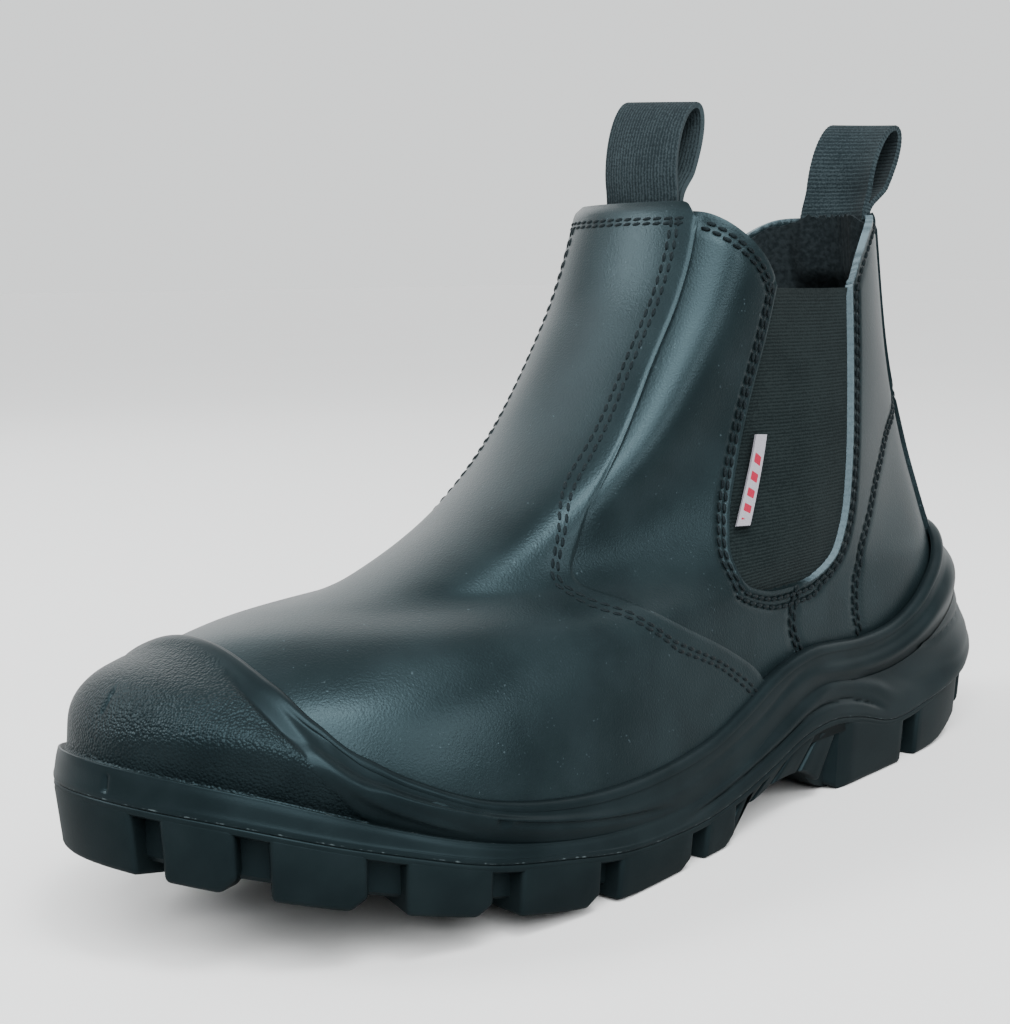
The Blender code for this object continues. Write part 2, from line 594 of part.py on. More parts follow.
def build_loop(name, row, front):
    """Webbing pull loop with its tab inside the collar."""
    outside, inside = loop_section(row)
    if outside[:, 1].max() < inside[:, 1].max():
        outside, inside = inside, outside
    root_x, root_z, lean, height, bulge, tab = row
    count = len(outside)
    foot_z = root_z - tab
    sign = 1.0 if outside[0, 0] > outside[-1, 0] else -1.0
    half = LOOP_THICK * 0.98
    feet = np.array([(root_x - sign * half, foot_z), (root_x + sign * half, foot_z)])
    necks = np.array([(root_x - sign * half, root_z - 1.0), (root_x + sign * half, root_z - 1.0)])
    loop = np.concatenate([outside, necks[:1], feet, necks[1:]])
    across = np.linspace(-LOOP_HALF_WIDTH, LOOP_HALF_WIDTH, 5)
    verts = []
    per = len(loop) + count
    for y in across:
        for x, z in np.concatenate([loop, inside]):
            share = np.clip((z - root_z - LOOP_STRAIGHT) / (height - LOOP_STRAIGHT), 0.0, 1.0)
            verts.append((x + collar_bend(y, front) * (1.0 - 0.75 * share), y + float(along(x, SWING)), z))
    faces = []
    n = len(loop)
    for s in range(len(across) - 1):
        a = s * per
        b = a + per
        for i in range(n):
            j = (i + 1) % n
            faces.append((a + i, a + j, b + j, b + i))
        for i in range(count):
            j = (i + 1) % count
            faces.append((a + n + j, a + n + i, b + n + i, b + n + j))
    for a in (0, (len(across) - 1) * per):
        for i in range(count - 1):
            faces.append((a + i, a + i + 1, a + n + i + 1, a + n + i))
        faces.append((a + count - 1, a + count, a + count + 3, a, a + n, a + n + count - 1))
        faces.append((a + count, a + count + 1, a + count + 2, a + count + 3))
    make_object(name, verts, faces, (0.02, 0.022, 0.025), 0.8)


def collar_bend(y, front):
    """How far the collar falls back, across its width, from the middle of its front or its back."""
    angles = np.linspace(2.3, math.pi, 200) if front else np.linspace(0.0, 0.95, 200)
    p = upper_shell(angles, np.full(200, 0.95), -WALL - GAP)
    away = np.abs(p[:, 1] - along(p[:, 0], SWING))
    order = np.argsort(away)
    middle = p[-1, 0] if front else p[0, 0]
    return float(np.interp(abs(y), away[order], p[order, 0])) - float(middle)


def build_side_tag():
    """Blank woven tag lying on the outer elastic."""
    share = np.linspace(0.0, 1.0, 3)
    height = np.linspace(0.0, 1.0, 7)
    grid_s, grid_h = np.meshgrid(share, height)
    level = TAG_LEVELS[0] + (TAG_LEVELS[1] - TAG_LEVELS[0]) * grid_h
    low = TAG_ANGLES_LOW[0] + (TAG_ANGLES_HIGH[0] - TAG_ANGLES_LOW[0]) * grid_h
    high = TAG_ANGLES_LOW[1] + (TAG_ANGLES_HIGH[1] - TAG_ANGLES_LOW[1]) * grid_h
    angle = low + (high - low) * grid_s
    outer = upper_shell(angle, level, ELASTIC_OUT + GAP + 0.8)
    inner = upper_shell(angle, level, ELASTIC_OUT + GAP)
    slab_solid("side_tag", outer, inner, (0.5, 0.5, 0.5), 0.8)


def main():
    """Build every sub-part of the shoe."""
    for obj in list(bpy.data.objects):
        bpy.data.objects.remove(obj, do_unlink=True)
    build_outsole()
    build_midsole()
    build_upper()
    build_vamp_overlay()
    build_heel_strip()
    build_gusset("gusset_lateral", 1)
    build_gusset("gusset_medial", -1)
    build_loop("pull_loop_front", LOOP_FRONT, True)
    build_loop("pull_loop_rear", LOOP_REAR, False)
    build_side_tag()
    build_insole()


main()
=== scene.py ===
"""Looks of a slip-on ankle work shoe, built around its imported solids.

Tables and sizes are in millimetres, meshes in metres. +X runs to the toe, +Y to the outer side, +Z up.
"""
import logging
import math
from dataclasses import dataclass, field
from enum import Enum
from typing import Callable, Sequence

import bpy
import numpy as np
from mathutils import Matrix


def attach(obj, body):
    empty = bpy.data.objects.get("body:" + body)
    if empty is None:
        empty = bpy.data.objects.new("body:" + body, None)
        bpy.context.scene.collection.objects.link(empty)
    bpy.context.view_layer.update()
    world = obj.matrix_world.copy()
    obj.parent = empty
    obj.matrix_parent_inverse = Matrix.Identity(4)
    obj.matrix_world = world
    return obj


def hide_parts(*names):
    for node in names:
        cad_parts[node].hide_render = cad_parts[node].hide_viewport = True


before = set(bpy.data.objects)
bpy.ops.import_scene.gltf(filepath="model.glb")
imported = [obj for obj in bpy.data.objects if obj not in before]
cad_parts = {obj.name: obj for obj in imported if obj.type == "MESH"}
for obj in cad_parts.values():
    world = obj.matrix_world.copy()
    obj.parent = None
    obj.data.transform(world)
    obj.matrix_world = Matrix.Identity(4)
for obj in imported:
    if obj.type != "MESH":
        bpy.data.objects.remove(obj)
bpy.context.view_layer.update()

BODY = "root"
MM = 0.001
LOG = logging.getLogger("work_shoe")
Array = np.ndarray
Placed = tuple[Array, Array, dict[str, Array]]
Place = Callable[[Array, Array], Placed]

# Level loops of the last: level, back x and z, front x and z, half-widths at five stations
LAST_ROWS = np.array([
    (0.00, -138.2, 30.0, 139.0, 40.0, 27.5, 36.0, 41.5, 49.0, 37.0),
    (0.12, -138.2, 40.0, 141.0, 48.0, 27.2, 36.0, 41.0, 46.3, 33.5),
    (0.24, -137.2, 47.0, 136.0, 57.0, 26.8, 35.6, 39.6, 42.1, 27.5),
    (0.32, -135.8, 52.0, 119.8, 63.6, 26.2, 34.8, 38.4, 38.0, 22.0),
    (0.40, -133.9, 57.0, 94.6, 66.4, 25.2, 33.8, 37.8, 33.3, 19.0),
    (0.50, -131.3, 63.0, 73.6, 71.3, 23.7, 32.3, 37.8, 29.7, 20.0),
    (0.60, -128.0, 73.0, 49.4, 81.9, 21.3, 30.5, 36.8, 28.2, 22.0),
    (0.72, -122.8, 90.0, 23.2, 100.6, 18.0, 28.2, 34.5, 28.7, 25.7),
    (0.84, -116.8, 115.0, 1.9, 128.3, 14.8, 26.4, 31.0, 30.1, 26.0),
    (1.00, -110.6, 157.6, -11.6, 158.6, 12.8, 23.4, 27.0, 31.4, 23.8),
])
# Left and right curve of the middle line: x, y
SWING = np.array([(-152.5, -1.3), (-80.0, -1.3), (0.0, 0.7), (60.0, 0.7), (100.0, -1.3), (152.5, -7.3)])
# Bottom edge of the upper: x, z
FEATHER = np.array([
    (-152.0, 30.0), (-120.0, 27.5), (-98.0, 26.0), (-70.0, 26.5), (-45.0, 27.5), (-20.0, 24.0), (7.0, 18.5),
    (31.0, 17.0), (65.0, 19.0), (88.0, 24.0), (110.0, 30.0), (139.0, 40.0), (152.0, 45.0),
])
# Half-widths of the sole's outline at the same five stations
SOLE_WIDTHS = np.array([29.0, 40.3, 46.0, 53.0, 36.0])
# Side profile of the sole: x, z
PARTING = np.array([
    (-152.5, 29.0), (-144.0, 26.5), (-122.0, 20.5), (-98.0, 15.6), (-75.0, 14.5), (-60.0, 18.5),
    (-45.0, 21.0), (-30.0, 20.0), (-14.0, 15.8), (4.0, 12.0), (15.0, 10.6), (33.0, 10.5), (50.0, 11.6),
    (71.0, 15.2), (94.0, 19.5), (109.0, 24.0), (121.0, 27.7), (140.0, 34.0), (152.5, 37.5),
])
GROUND = np.array([
    (-152.5, 19.4), (-145.0, 15.2), (-130.0, 8.3), (-118.0, 3.5), (-107.0, 0.5), (-98.0, 0.0), (-90.0, 0.0),
    (0.0, 0.0), (30.0, 0.0), (46.0, 0.0), (60.0, 1.2), (73.0, 3.2), (94.0, 7.6), (110.0, 11.4), (125.0, 15.2),
    (142.0, 20.0), (152.5, 23.0),
])
BAND = np.array([
    (-152.5, 49.0), (-144.0, 46.0), (-125.0, 39.5), (-98.0, 31.5), (-79.0, 28.8), (-60.0, 29.0),
    (-40.0, 31.0), (-20.0, 26.5), (0.0, 19.5), (20.0, 16.4), (50.0, 16.6), (75.0, 19.8), (94.0, 24.2),
    (108.0, 28.9), (120.0, 33.5), (134.0, 39.0), (152.5, 45.0),
])
BAND_STEP = np.array([
    (-152.5, 0.2), (-90.0, 0.2), (-65.0, 0.2), (60.0, 0.2), (80.0, 0.5), (95.0, 1.0), (110.0, 1.4),
    (152.5, 1.5),
])
BAND_INSET = np.array([
    (-152.5, 3.1), (-125.0, 2.6), (-98.0, 2.3), (-79.0, 2.1), (-60.0, 2.0), (-20.0, 1.6), (60.0, 1.2),
    (152.5, 1.2),
])
# Top edge of the midsole's wall, which sweeps up over the toe as the guard's rim: x, z
LIP = np.array([
    (-152.5, 66.5), (-135.0, 65.6), (-127.0, 62.5), (-120.0, 58.8), (-112.0, 54.0), (-104.0, 49.8),
    (-97.0, 46.2), (-90.0, 43.4), (-82.0, 41.2), (-63.0, 39.8), (-47.0, 41.0), (-38.0, 41.6), (-30.0, 41.0),
    (-17.0, 38.2), (-4.0, 33.4), (10.0, 29.0), (35.0, 26.2), (69.0, 27.6), (85.0, 30.4), (91.0, 32.0),
    (102.0, 36.6), (112.0, 42.6), (119.5, 50.0), (123.2, 58.0), (124.6, 66.0), (125.6, 90.0),
])
# Edge between the guard's pebbled face and its smooth rim: z, x
PEBBLE_EDGE = np.array([
    (20.0, 100.0), (30.0, 113.0), (35.0, 118.6), (39.7, 122.1), (43.8, 125.0), (47.5, 126.4), (50.6, 127.7),
    (55.8, 129.2), (59.2, 129.4), (63.7, 127.6), (75.0, 126.4),
])
# Crest of the guard's rim: z, x
RIM_CREST = np.array([
    (24.0, 90.0), (28.1, 99.1), (35.9, 113.9), (43.1, 121.6), (49.8, 124.5), (55.8, 125.9), (62.2, 126.6),
    (75.0, 126.8),
])
# Lines of the midsole's wall, seen from the side: x, z
ARCH_CREST = (
    (-88.0, 20.0), (-77.6, 21.9), (-69.6, 24.9), (-56.3, 28.3), (-44.4, 29.7), (-35.9, 28.1), (-17.2, 22.6),
    (-2.4, 18.6), (14.5, 15.4), (30.0, 14.2),
)
ARCH_VALLEY = (
    (-76.0, 17.0), (-62.9, 22.4), (-54.8, 24.6), (-42.9, 25.7), (-34.9, 25.0), (-16.7, 20.3), (3.0, 15.9),
    (22.0, 13.0), (34.0, 12.2),
)
HEEL_CREASE = (
    (-152.5, 40.0), (-145.0, 38.4), (-130.0, 35.5), (-116.4, 33.5), (-105.0, 31.9), (-99.7, 31.7),
    (-90.0, 32.6), (-81.0, 34.6),
)
HEEL_SWELL = ((-152.5, 31.0), (-144.0, 28.5), (-122.0, 22.5), (-98.0, 17.6), (-80.0, 16.5))
HEEL_VALLEY = ((-152.5, 33.5), (-135.0, 27.0), (-119.0, 23.2), (-105.0, 22.6), (-89.0, 23.1), (-72.0, 27.6))
FRONT_GROOVE = ((29.3, 16.9), (46.1, 18.8), (61.0, 21.2), (74.0, 23.8), (90.0, 27.7))
PIT = ((80.0, 25.3), (100.0, 30.0))
LIP_VALLEY = (
    (-152.5, 59.5), (-135.0, 58.0), (-122.0, 53.0), (-109.9, 48.3), (-98.2, 42.4), (-82.6, 38.0),
    (-70.2, 36.4), (-56.4, 36.2), (-40.6, 37.2), (-28.8, 36.4), (-7.9, 28.5), (11.6, 23.6), (38.6, 21.4),
    (60.7, 23.0), (84.9, 26.8), (97.1, 31.0), (107.0, 35.8), (114.0, 40.0),
)
# Edge of the vamp's strip and wing: level, angle on the outer side, angle on the inner side
VAMP_EDGE = np.array([
    (0.00, 1.39, 1.43), (0.09, 1.45, 1.48), (0.18, 1.52, 1.56), (0.24, 1.61, 1.63), (0.31, 1.79, 1.76),
    (0.38, 2.00, 1.95), (0.45, 2.20, 2.17), (0.51, 2.35, 2.35), (0.57, 2.49, 2.50), (0.63, 2.635, 2.57),
    (0.69, 2.73, 2.58), (0.77, 2.79, 2.55), (0.87, 2.77, 2.53), (0.94, 2.74, 2.54), (1.00, 2.73, 2.54),
])
# Edge of the strip over the back seam: level, angle
BACK_EDGE = np.array([(0.30, 0.40), (0.50, 0.40), (0.60, 0.39), (0.78, 0.42), (0.89, 0.47), (1.00, 0.52)])
# Side cut for the elastic, and the dip of the collar above it: x, z
GUSSET_CUT = [
    (-34.0, 137.0), (-30.4, 126.0), (-24.0, 110.0), (-15.8, 89.5), (-10.2, 77.0), (-8.0, 69.5), (-10.2, 63.2),
    (-17.4, 60.0), (-31.0, 58.8), (-44.5, 60.0), (-53.0, 64.0), (-58.6, 72.0), (-63.6, 87.0), (-68.0, 108.0),
    (-73.0, 137.0),
]
DIP_FRONT = [(-34.0, 137.0), (-32.6, 139.6), (-29.6, 143.4), (-25.0, 147.6), (-20.8, 151.2), (-17.6, 154.2)]
DIP_REAR = [(-73.0, 137.0), (-79.5, 144.2), (-87.0, 150.6), (-96.0, 155.6)]
# Curved double seam of the heel counter: angle, level
COUNTER_SEAM = [
    (0.40, 0.79), (0.69, 0.76), (0.99, 0.70), (1.11, 0.63), (1.16, 0.51), (1.10, 0.28), (1.07, 0.12),
]
# Short seam below the elastic: angle, level
QUARTER_SEAM = [(1.375, 0.345), (1.35, 0.25), (1.31, 0.12)]
# Middles of the cuts between the lugs: x, width, reach inward, on the outer and on the inner side
OUTER_CUTS = [
    (148.2, 2.7, 12.0), (135.3, 4.6, 15.0), (113.5, 7.0, 20.0), (87.5, 7.0, 25.0), (57.0, 6.5, 26.0),
    (21.5, 6.5, 26.0), (4.4, 1.0, 26.0), (-50.5, 1.0, 24.0), (-87.6, 8.5, 24.0), (-126.0, 4.5, 16.0),
]
INNER_CUTS = [
    (146.0, 4.5, 12.0), (121.0, 5.5, 16.0), (98.4, 5.5, 20.0), (77.5, 5.5, 25.0), (52.0, 5.5, 26.0),
    (25.5, 5.5, 26.0), (4.4, 1.0, 26.0), (-50.5, 1.0, 24.0), (-75.4, 5.5, 24.0), (-98.6, 6.0, 22.0),
    (-127.0, 4.5, 16.0),
]
# Underside of the raised arch: x, z
ARCH = np.array([
    (-50.5, 0.0), (-48.3, 0.5), (-41.7, 2.9), (-38.2, 5.4), (-34.2, 8.3), (-27.5, 9.8), (-22.0, 10.1),
    (-14.2, 9.7), (-5.4, 8.0), (1.7, 6.8), (4.0, 6.4),
])
# Rear end of the forefoot tread, and the slanted slots between the bars of the arch: x at the parting line
ARCH_FRONT = 4.4
ARCH_SLOTS = (-49.0, -37.5, -23.0, -12.5, 1.5)
# Bars across the middle of the tread: rear x, front x, half-width
TREAD_BARS = (
    (100.0, 113.0, 16.0), (78.0, 93.0, 20.0), (54.0, 71.0, 22.0), (30.0, 47.0, 20.0), (8.0, 23.0, 18.0),
    (-63.0, -54.0, 12.0), (-89.0, -70.0, 12.0), (-111.0, -96.0, 10.0),
)


class Side(Enum):
    """Side of the left shoe."""

    OUTER = 1
    INNER = -1


class Face(Enum):
    """Material slot of a leather panel's faces."""

    GRAIN = 0
    LINING = 1
    CUT = 2


def smooth(x: Array, table_x: Array, table_y: Array) -> Array:
    """Read a smooth curve through a table.

    Args:
        x: places to read, clipped to the table.
        table_x: rising places of the table.
        table_y: values there, one row each.

    Returns:
        The values at x.
    """
    xs = np.asarray(table_x, float)
    ys = np.asarray(table_y, float)
    x = np.clip(np.asarray(x, float), xs[0], xs[-1])
    slope = np.gradient(ys, xs, axis=0)
    i = np.clip(np.searchsorted(xs, x, side="right") - 1, 0, len(xs) - 2)
    span = xs[i + 1] - xs[i]
    t = (x - xs[i]) / span
    if ys.ndim > 1:
        span = span[..., None]
        t = t[..., None]
    start = (2 * t ** 3 - 3 * t ** 2 + 1) * ys[i] + (t ** 3 - 2 * t ** 2 + t) * span * slope[i]
    return start + (-2 * t ** 3 + 3 * t ** 2) * ys[i + 1] + (t ** 3 - t ** 2) * span * slope[i + 1]


def along(x: Array, table: Array) -> Array:
    """Value of a two-column table at x."""
    return smooth(x, table[:, 0], table[:, 1])


def vamp_edge(level: Array, side: Side) -> Array:
    """Angle of the vamp's edge at a level, without the side's sign."""
    return smooth(level, VAMP_EDGE[:, 0], VAMP_EDGE[:, 1 if side is Side.OUTER else 2])


def ease(x: Array, low: float, high: float) -> Array:
    """Soft step from 0 at low to 1 at high."""
    t = np.clip((np.asarray(x, float) - low) / (high - low), 0, 1)
    return t * t * (3 - 2 * t)


def unit(v: Array) -> Array:
    """Vectors of length one."""
    return v / np.maximum(np.linalg.norm(v, axis=-1, keepdims=True), 1e-12)


def run_along(line: Array) -> Array:
    """Length of a line from its start to each of its points."""
    return np.concatenate([[0.0], np.cumsum(np.linalg.norm(np.diff(line, axis=0), axis=1))])


def read_line(at: Array, run: Array, line: Array) -> Array:
    """Points of a line at places of its run."""
    return np.stack([np.interp(at, run, line[:, k]) for k in range(line.shape[1])], 1)


def spread(points: Sequence, count: int) -> Array:
    """Even points along a rounded line.

    Args:
        points: corner points of the line.
        count: how many points to return.

    Returns:
        Points at equal steps along a smooth curve through the corners.
    """
    p = np.asarray(points, float)
    steps = run_along(p)
    fine = smooth(np.linspace(0, steps[-1], 24 * len(p)), steps, p)
    run = run_along(fine)
    return read_line(np.linspace(0, run[-1], count), run, fine)


def nearest(points: Array, line: Array) -> Array:
    """Distance from each point to the nearest point of a line.

    Args:
        points: points to measure from.
        line: points of the line.

    Returns:
        One distance for each point.
    """
    best = np.full(len(points), np.inf)
    for start in range(0, len(line), 64):
        part = line[start:start + 64]
        gap = np.linalg.norm(points[:, None] - part[None], axis=-1).min(1)
        best = np.minimum(best, gap)
    return best


@dataclass(frozen=True)
class Last:
    """Outside of the upper: angle 0 at the back and pi at the front, plus on the outer side; level 0 to 1."""

    feather_fade: float = 0.40
    step: float = 1e-3

    def half_width(self, angle: Array, widths: Array) -> Array:
        """Half-width of a loop at an angle, from its five station widths.

        Args:
            angle: angles to read.
            widths: half-widths at the five stations.

        Returns:
            The half-widths.
        """
        terms = np.arange(1, 6)
        sines = np.sin(np.outer(math.pi * terms / 6.0, terms))
        series = np.linalg.solve(sines, widths.reshape(-1, 5).T).T.reshape(widths.shape)
        return np.sum(series * np.sin(np.abs(angle)[..., None] * terms), -1)

    def point(self, angle: Array, level: Array) -> Array:
        """Point on the surface.

        Args:
            angle: angles round the last.
            level: levels, 0 to 1.

        Returns:
            The points.
        """
        angle, level = np.broadcast_arrays(np.asarray(angle, float), np.asarray(level, float))
        angle = np.mod(angle + math.pi, 2 * math.pi) - math.pi
        row = smooth(level, LAST_ROWS[:, 0], LAST_ROWS[:, 1:])
        t = (1 - np.cos(angle)) / 2
        x = row[..., 0] + (row[..., 2] - row[..., 0]) * t
        z = row[..., 1] + (row[..., 3] - row[..., 1]) * t
        fade = np.clip(1 - level / self.feather_fade, 0, 1) ** 2
        straight = LAST_ROWS[0, 2] + (LAST_ROWS[0, 4] - LAST_ROWS[0, 2]) * t
        z = z + fade * (along(x, FEATHER) - straight)
        y = np.sign(angle) * self.half_width(angle, row[..., 4:]) + along(x, SWING)
        return np.stack([x, y, z], -1)

    def rates(self, angle: Array, level: Array) -> tuple[Array, Array]:
        """Change of the point with the angle and with the level.

        Args:
            angle: angles round the last.
            level: levels, 0 to 1.

        Returns:
            The change with the angle, and with the level.
        """
        angle, level = np.broadcast_arrays(np.asarray(angle, float), np.asarray(level, float))
        low = np.clip(level - self.step, 0, 1)
        high = np.clip(level + self.step, 0, 1)
        rise = (self.point(angle, high) - self.point(angle, low)) / (high - low)[..., None]
        turn = (self.point(angle + self.step, level) - self.point(angle - self.step, level)) / (2 * self.step)
        return turn, rise

    def normal(self, angle: Array, level: Array) -> Array:
        """Outward direction."""
        turn, rise = self.rates(angle, level)
        return unit(np.cross(rise, turn))

    def shell(self, angle: Array, level: Array, offset: Array) -> Array:
        """Point at an offset from the surface, plus outward."""
        normal = self.normal(angle, level)
        return self.point(angle, level) + normal * np.asarray(offset, float)[..., None]

    def locate(self, x: Array, z: Array, side: Side) -> tuple[Array, Array]:
        """Find the angle and level of a side-view place.

        Args:
            x: places along the shoe.
            z: heights.
            side: which side of the shoe.

        Returns:
            Angles, signed by the side, and levels.
        """
        level = np.clip(0.35 + (np.asarray(z, float) - 58.0) / 150.0, 0.02, 0.99)
        angle = np.full_like(level, 1.5)
        for _ in range(25):
            p = self.point(angle, level)
            turn, rise = self.rates(angle, level)
            miss_x, miss_z = x - p[..., 0], z - p[..., 2]
            det = turn[..., 0] * rise[..., 2] - turn[..., 2] * rise[..., 0]
            angle = angle + np.clip((miss_x * rise[..., 2] - miss_z * rise[..., 0]) / det, -0.2, 0.2)
            level = level + np.clip((miss_z * turn[..., 0] - miss_x * turn[..., 2]) / det, -0.1, 0.1)
            angle, level = np.clip(angle, 0.1, 3.0), np.clip(level, 0.01, 0.999)
        return angle * side.value, level

    def aside(self, angle: Array, level: Array, distance: float) -> tuple[Array, Array]:
        """Move a line sideways along the surface.

        Args:
            angle: angles of the line's points.
            level: levels of the line's points.
            distance: how far, plus to the left of the run seen from outside.

        Returns:
            Angles and levels of the moved line.
        """
        p = self.point(angle, level)
        turn, rise = self.rates(angle, level)
        run = unit(np.gradient(p, axis=0))
        across = np.cross(self.normal(angle, level), run) * distance
        tt, tr, rr = (np.sum(a * b, -1) for a, b in ((turn, turn), (turn, rise), (rise, rise)))
        at, ar = np.sum(across * turn, -1), np.sum(across * rise, -1)
        det = tt * rr - tr ** 2
        return angle + (at * rr - ar * tr) / det, np.clip(level + (ar * tt - at * tr) / det, 0.0, 1.0)


@dataclass(frozen=True)
class SoleForm:
    """Plan outline of the sole and the line where its wall ends on the upper."""

    last: Last
    length: float = 305.0
    lip_thick: float = 3.4

    def edge(self, angle: Array, inset: Array) -> Array:
        """Plan point on the outline, moved inward by inset.

        Args:
            angle: angles round the outline.
            inset: how far inward.

        Returns:
            Plan points, x and y.
        """
        angle, inset = np.broadcast_arrays(np.asarray(angle, float), np.asarray(inset, float))

        def plan(a: Array) -> Array:
            """Plan point on the outline itself.

            Args:
                a: angles round the outline.

            Returns:
                The points.
            """
            a = np.mod(a + math.pi, 2 * math.pi) - math.pi
            x = -self.length / 2 + self.length * (1 - np.cos(a)) / 2
            widths = np.broadcast_to(SOLE_WIDTHS, a.shape + (5,))
            return np.stack([x, np.sign(a) * self.last.half_width(a, widths) + along(x, SWING)], -1)

        tangent = unit(plan(angle + 1e-3) - plan(angle - 1e-3))
        inward = np.stack([tangent[..., 1], -tangent[..., 0]], -1)
        return plan(angle) + inward * inset[..., None]

    def angle_at(self, x: float, side: Side) -> float:
        """Angle of the outline's point at x."""
        return side.value * math.acos(1 - 2 * (x + self.length / 2) / self.length)

    def lip_level(self, angle: Array) -> Array:
        """Level at which the midsole's wall ends.

        Args:
            angle: angles round the last.

        Returns:
            The levels.
        """
        fine = np.linspace(-math.pi, math.pi, 361)
        levels = np.linspace(0.0, 0.62, 311)
        grid_a, grid_l = np.meshgrid(fine, levels)
        p = self.last.shell(grid_a, grid_l, np.full(grid_a.shape, self.lip_thick))
        above = p[..., 2] - along(p[..., 0], LIP)
        above[p[..., 0] > LIP[-1, 0]] = -10.0
        first = np.argmax(above > 0, axis=0)
        cols = np.arange(len(fine))
        a0, a1 = above[first - 1, cols], above[first, cols]
        lip = levels[first - 1] + (levels[first] - levels[first - 1]) * a0 / (a0 - a1)
        return np.interp(np.mod(angle + math.pi, 2 * math.pi) - math.pi, fine, lip)


def select_only(obj: bpy.types.Object) -> None:
    """Leave one object selected and active.

    Args:
        obj: the object.
    """
    bpy.ops.object.select_all(action="DESELECT")
    obj.select_set(True)
    bpy.context.view_layer.objects.active = obj


def edit_all(obj: bpy.types.Object, action: Callable[[], object]) -> None:
    """Run one edit-mode operator on the whole of a mesh.

    Args:
        obj: the object.
        action: calls the operator.
    """
    select_only(obj)
    bpy.ops.object.mode_set(mode="EDIT")
    bpy.ops.mesh.select_all(action="SELECT")
    action()
    bpy.ops.object.mode_set(mode="OBJECT")


def lay_grid(name: str, rows: int, columns: int, place: Place) -> bpy.types.Object:
    """Lay a grid primitive over a curved form.

    Args:
        name: the piece's name.
        rows: faces along v.
        columns: faces along u.
        place: gives points in millimetres, outward directions and values to store, from u and v, 0 to 1.

    Returns:
        The new object, its faces outward.
    """
    bpy.ops.object.select_all(action="DESELECT")
    bpy.ops.mesh.primitive_grid_add(x_subdivisions=columns, y_subdivisions=rows, size=1.0)
    obj = bpy.context.active_object
    obj.name = obj.data.name = name
    flat = np.zeros(len(obj.data.vertices) * 3)
    obj.data.vertices.foreach_get("co", flat)
    flat = flat.reshape(-1, 3)
    points, outward, marks = place(flat[:, 0] + 0.5, flat[:, 1] + 0.5)
    obj.data.vertices.foreach_set("co", (points * MM).ravel())
    obj.data.update()
    normals = np.zeros(len(obj.data.vertices) * 3)
    obj.data.vertices.foreach_get("normal", normals)
    if np.sum(normals.reshape(-1, 3) * outward) < 0:
        edit_all(obj, bpy.ops.mesh.flip_normals)
    for key, values in marks.items():
        mark(obj, key, values)
    return obj


def close_up(obj: bpy.types.Object, ends: bool) -> None:
    """Merge the meeting edges of a rolled grid, and fill its open ends.

    Args:
        obj: the grid.
        ends: whether open ends are filled.
    """
    edit_all(obj, lambda: bpy.ops.mesh.remove_doubles(threshold=1e-6))
    if ends:
        edit_all(obj, lambda: bpy.ops.mesh.fill_holes(sides=0))
        edit_all(obj, lambda: bpy.ops.mesh.normals_make_consistent(inside=False))


def apply_modifier(obj: bpy.types.Object, kind: str, **settings: object) -> None:
    """Add a modifier with its settings and apply it.

    Args:
        obj: the object.
        kind: the modifier's type.
        settings: its properties.
    """
    select_only(obj)
    modifier = obj.modifiers.new(kind.lower(), kind)
    for key, value in settings.items():
        setattr(modifier, key, value)
    bpy.ops.object.modifier_apply(modifier=modifier.name)


def shade(obj: bpy.types.Object, degrees: float) -> None:
    """Smooth shading, with edges sharper than an angle kept."""
    select_only(obj)
    bpy.ops.object.shade_smooth_by_angle(angle=math.radians(degrees))


def mark(obj: bpy.types.Object, name: str, values: Array) -> None:
    """Store one value for each point of a mesh."""
    attribute = obj.data.attributes.new(name, "FLOAT", "POINT")
    attribute.data.foreach_set("value", np.asarray(values, np.float32))


def dress(obj: bpy.types.Object, materials: Sequence[bpy.types.Material], slot: str, *nodes: str) -> None:
    """Give a piece its materials and its body, and hide the solids that it stands for.

    Args:
        obj: the piece.
        materials: its materials, in order.
        slot: not used.
        nodes: the solids that it replaces.
    """
    for material in materials:
        obj.data.materials.append(material)
    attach(obj, BODY)
    if nodes:
        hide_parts(*nodes)
    LOG.info("%s: %d faces", obj.name, len(obj.data.polygons))


class Socket:
    """A shader value that takes part in Python arithmetic."""

    def __init__(self, tree: "NodeTree", output: bpy.types.NodeSocket) -> None:
        """Keep the socket and the tree it belongs to."""
        self.tree = tree
        self.output = output

    def __add__(self, other: "Socket | float") -> "Socket":
        """Sum."""
        return self.tree.math("ADD", self, other)

    def __sub__(self, other: "Socket | float") -> "Socket":
        """Difference."""
        return self.tree.math("SUBTRACT", self, other)

    def __rsub__(self, other: float) -> "Socket":
        """Difference from a number."""
        return self.tree.math("SUBTRACT", other, self)

    def __mul__(self, other: "Socket | float") -> "Socket":
        """Product."""
        return self.tree.math("MULTIPLY", self, other)

    __radd__ = __add__
    __rmul__ = __mul__


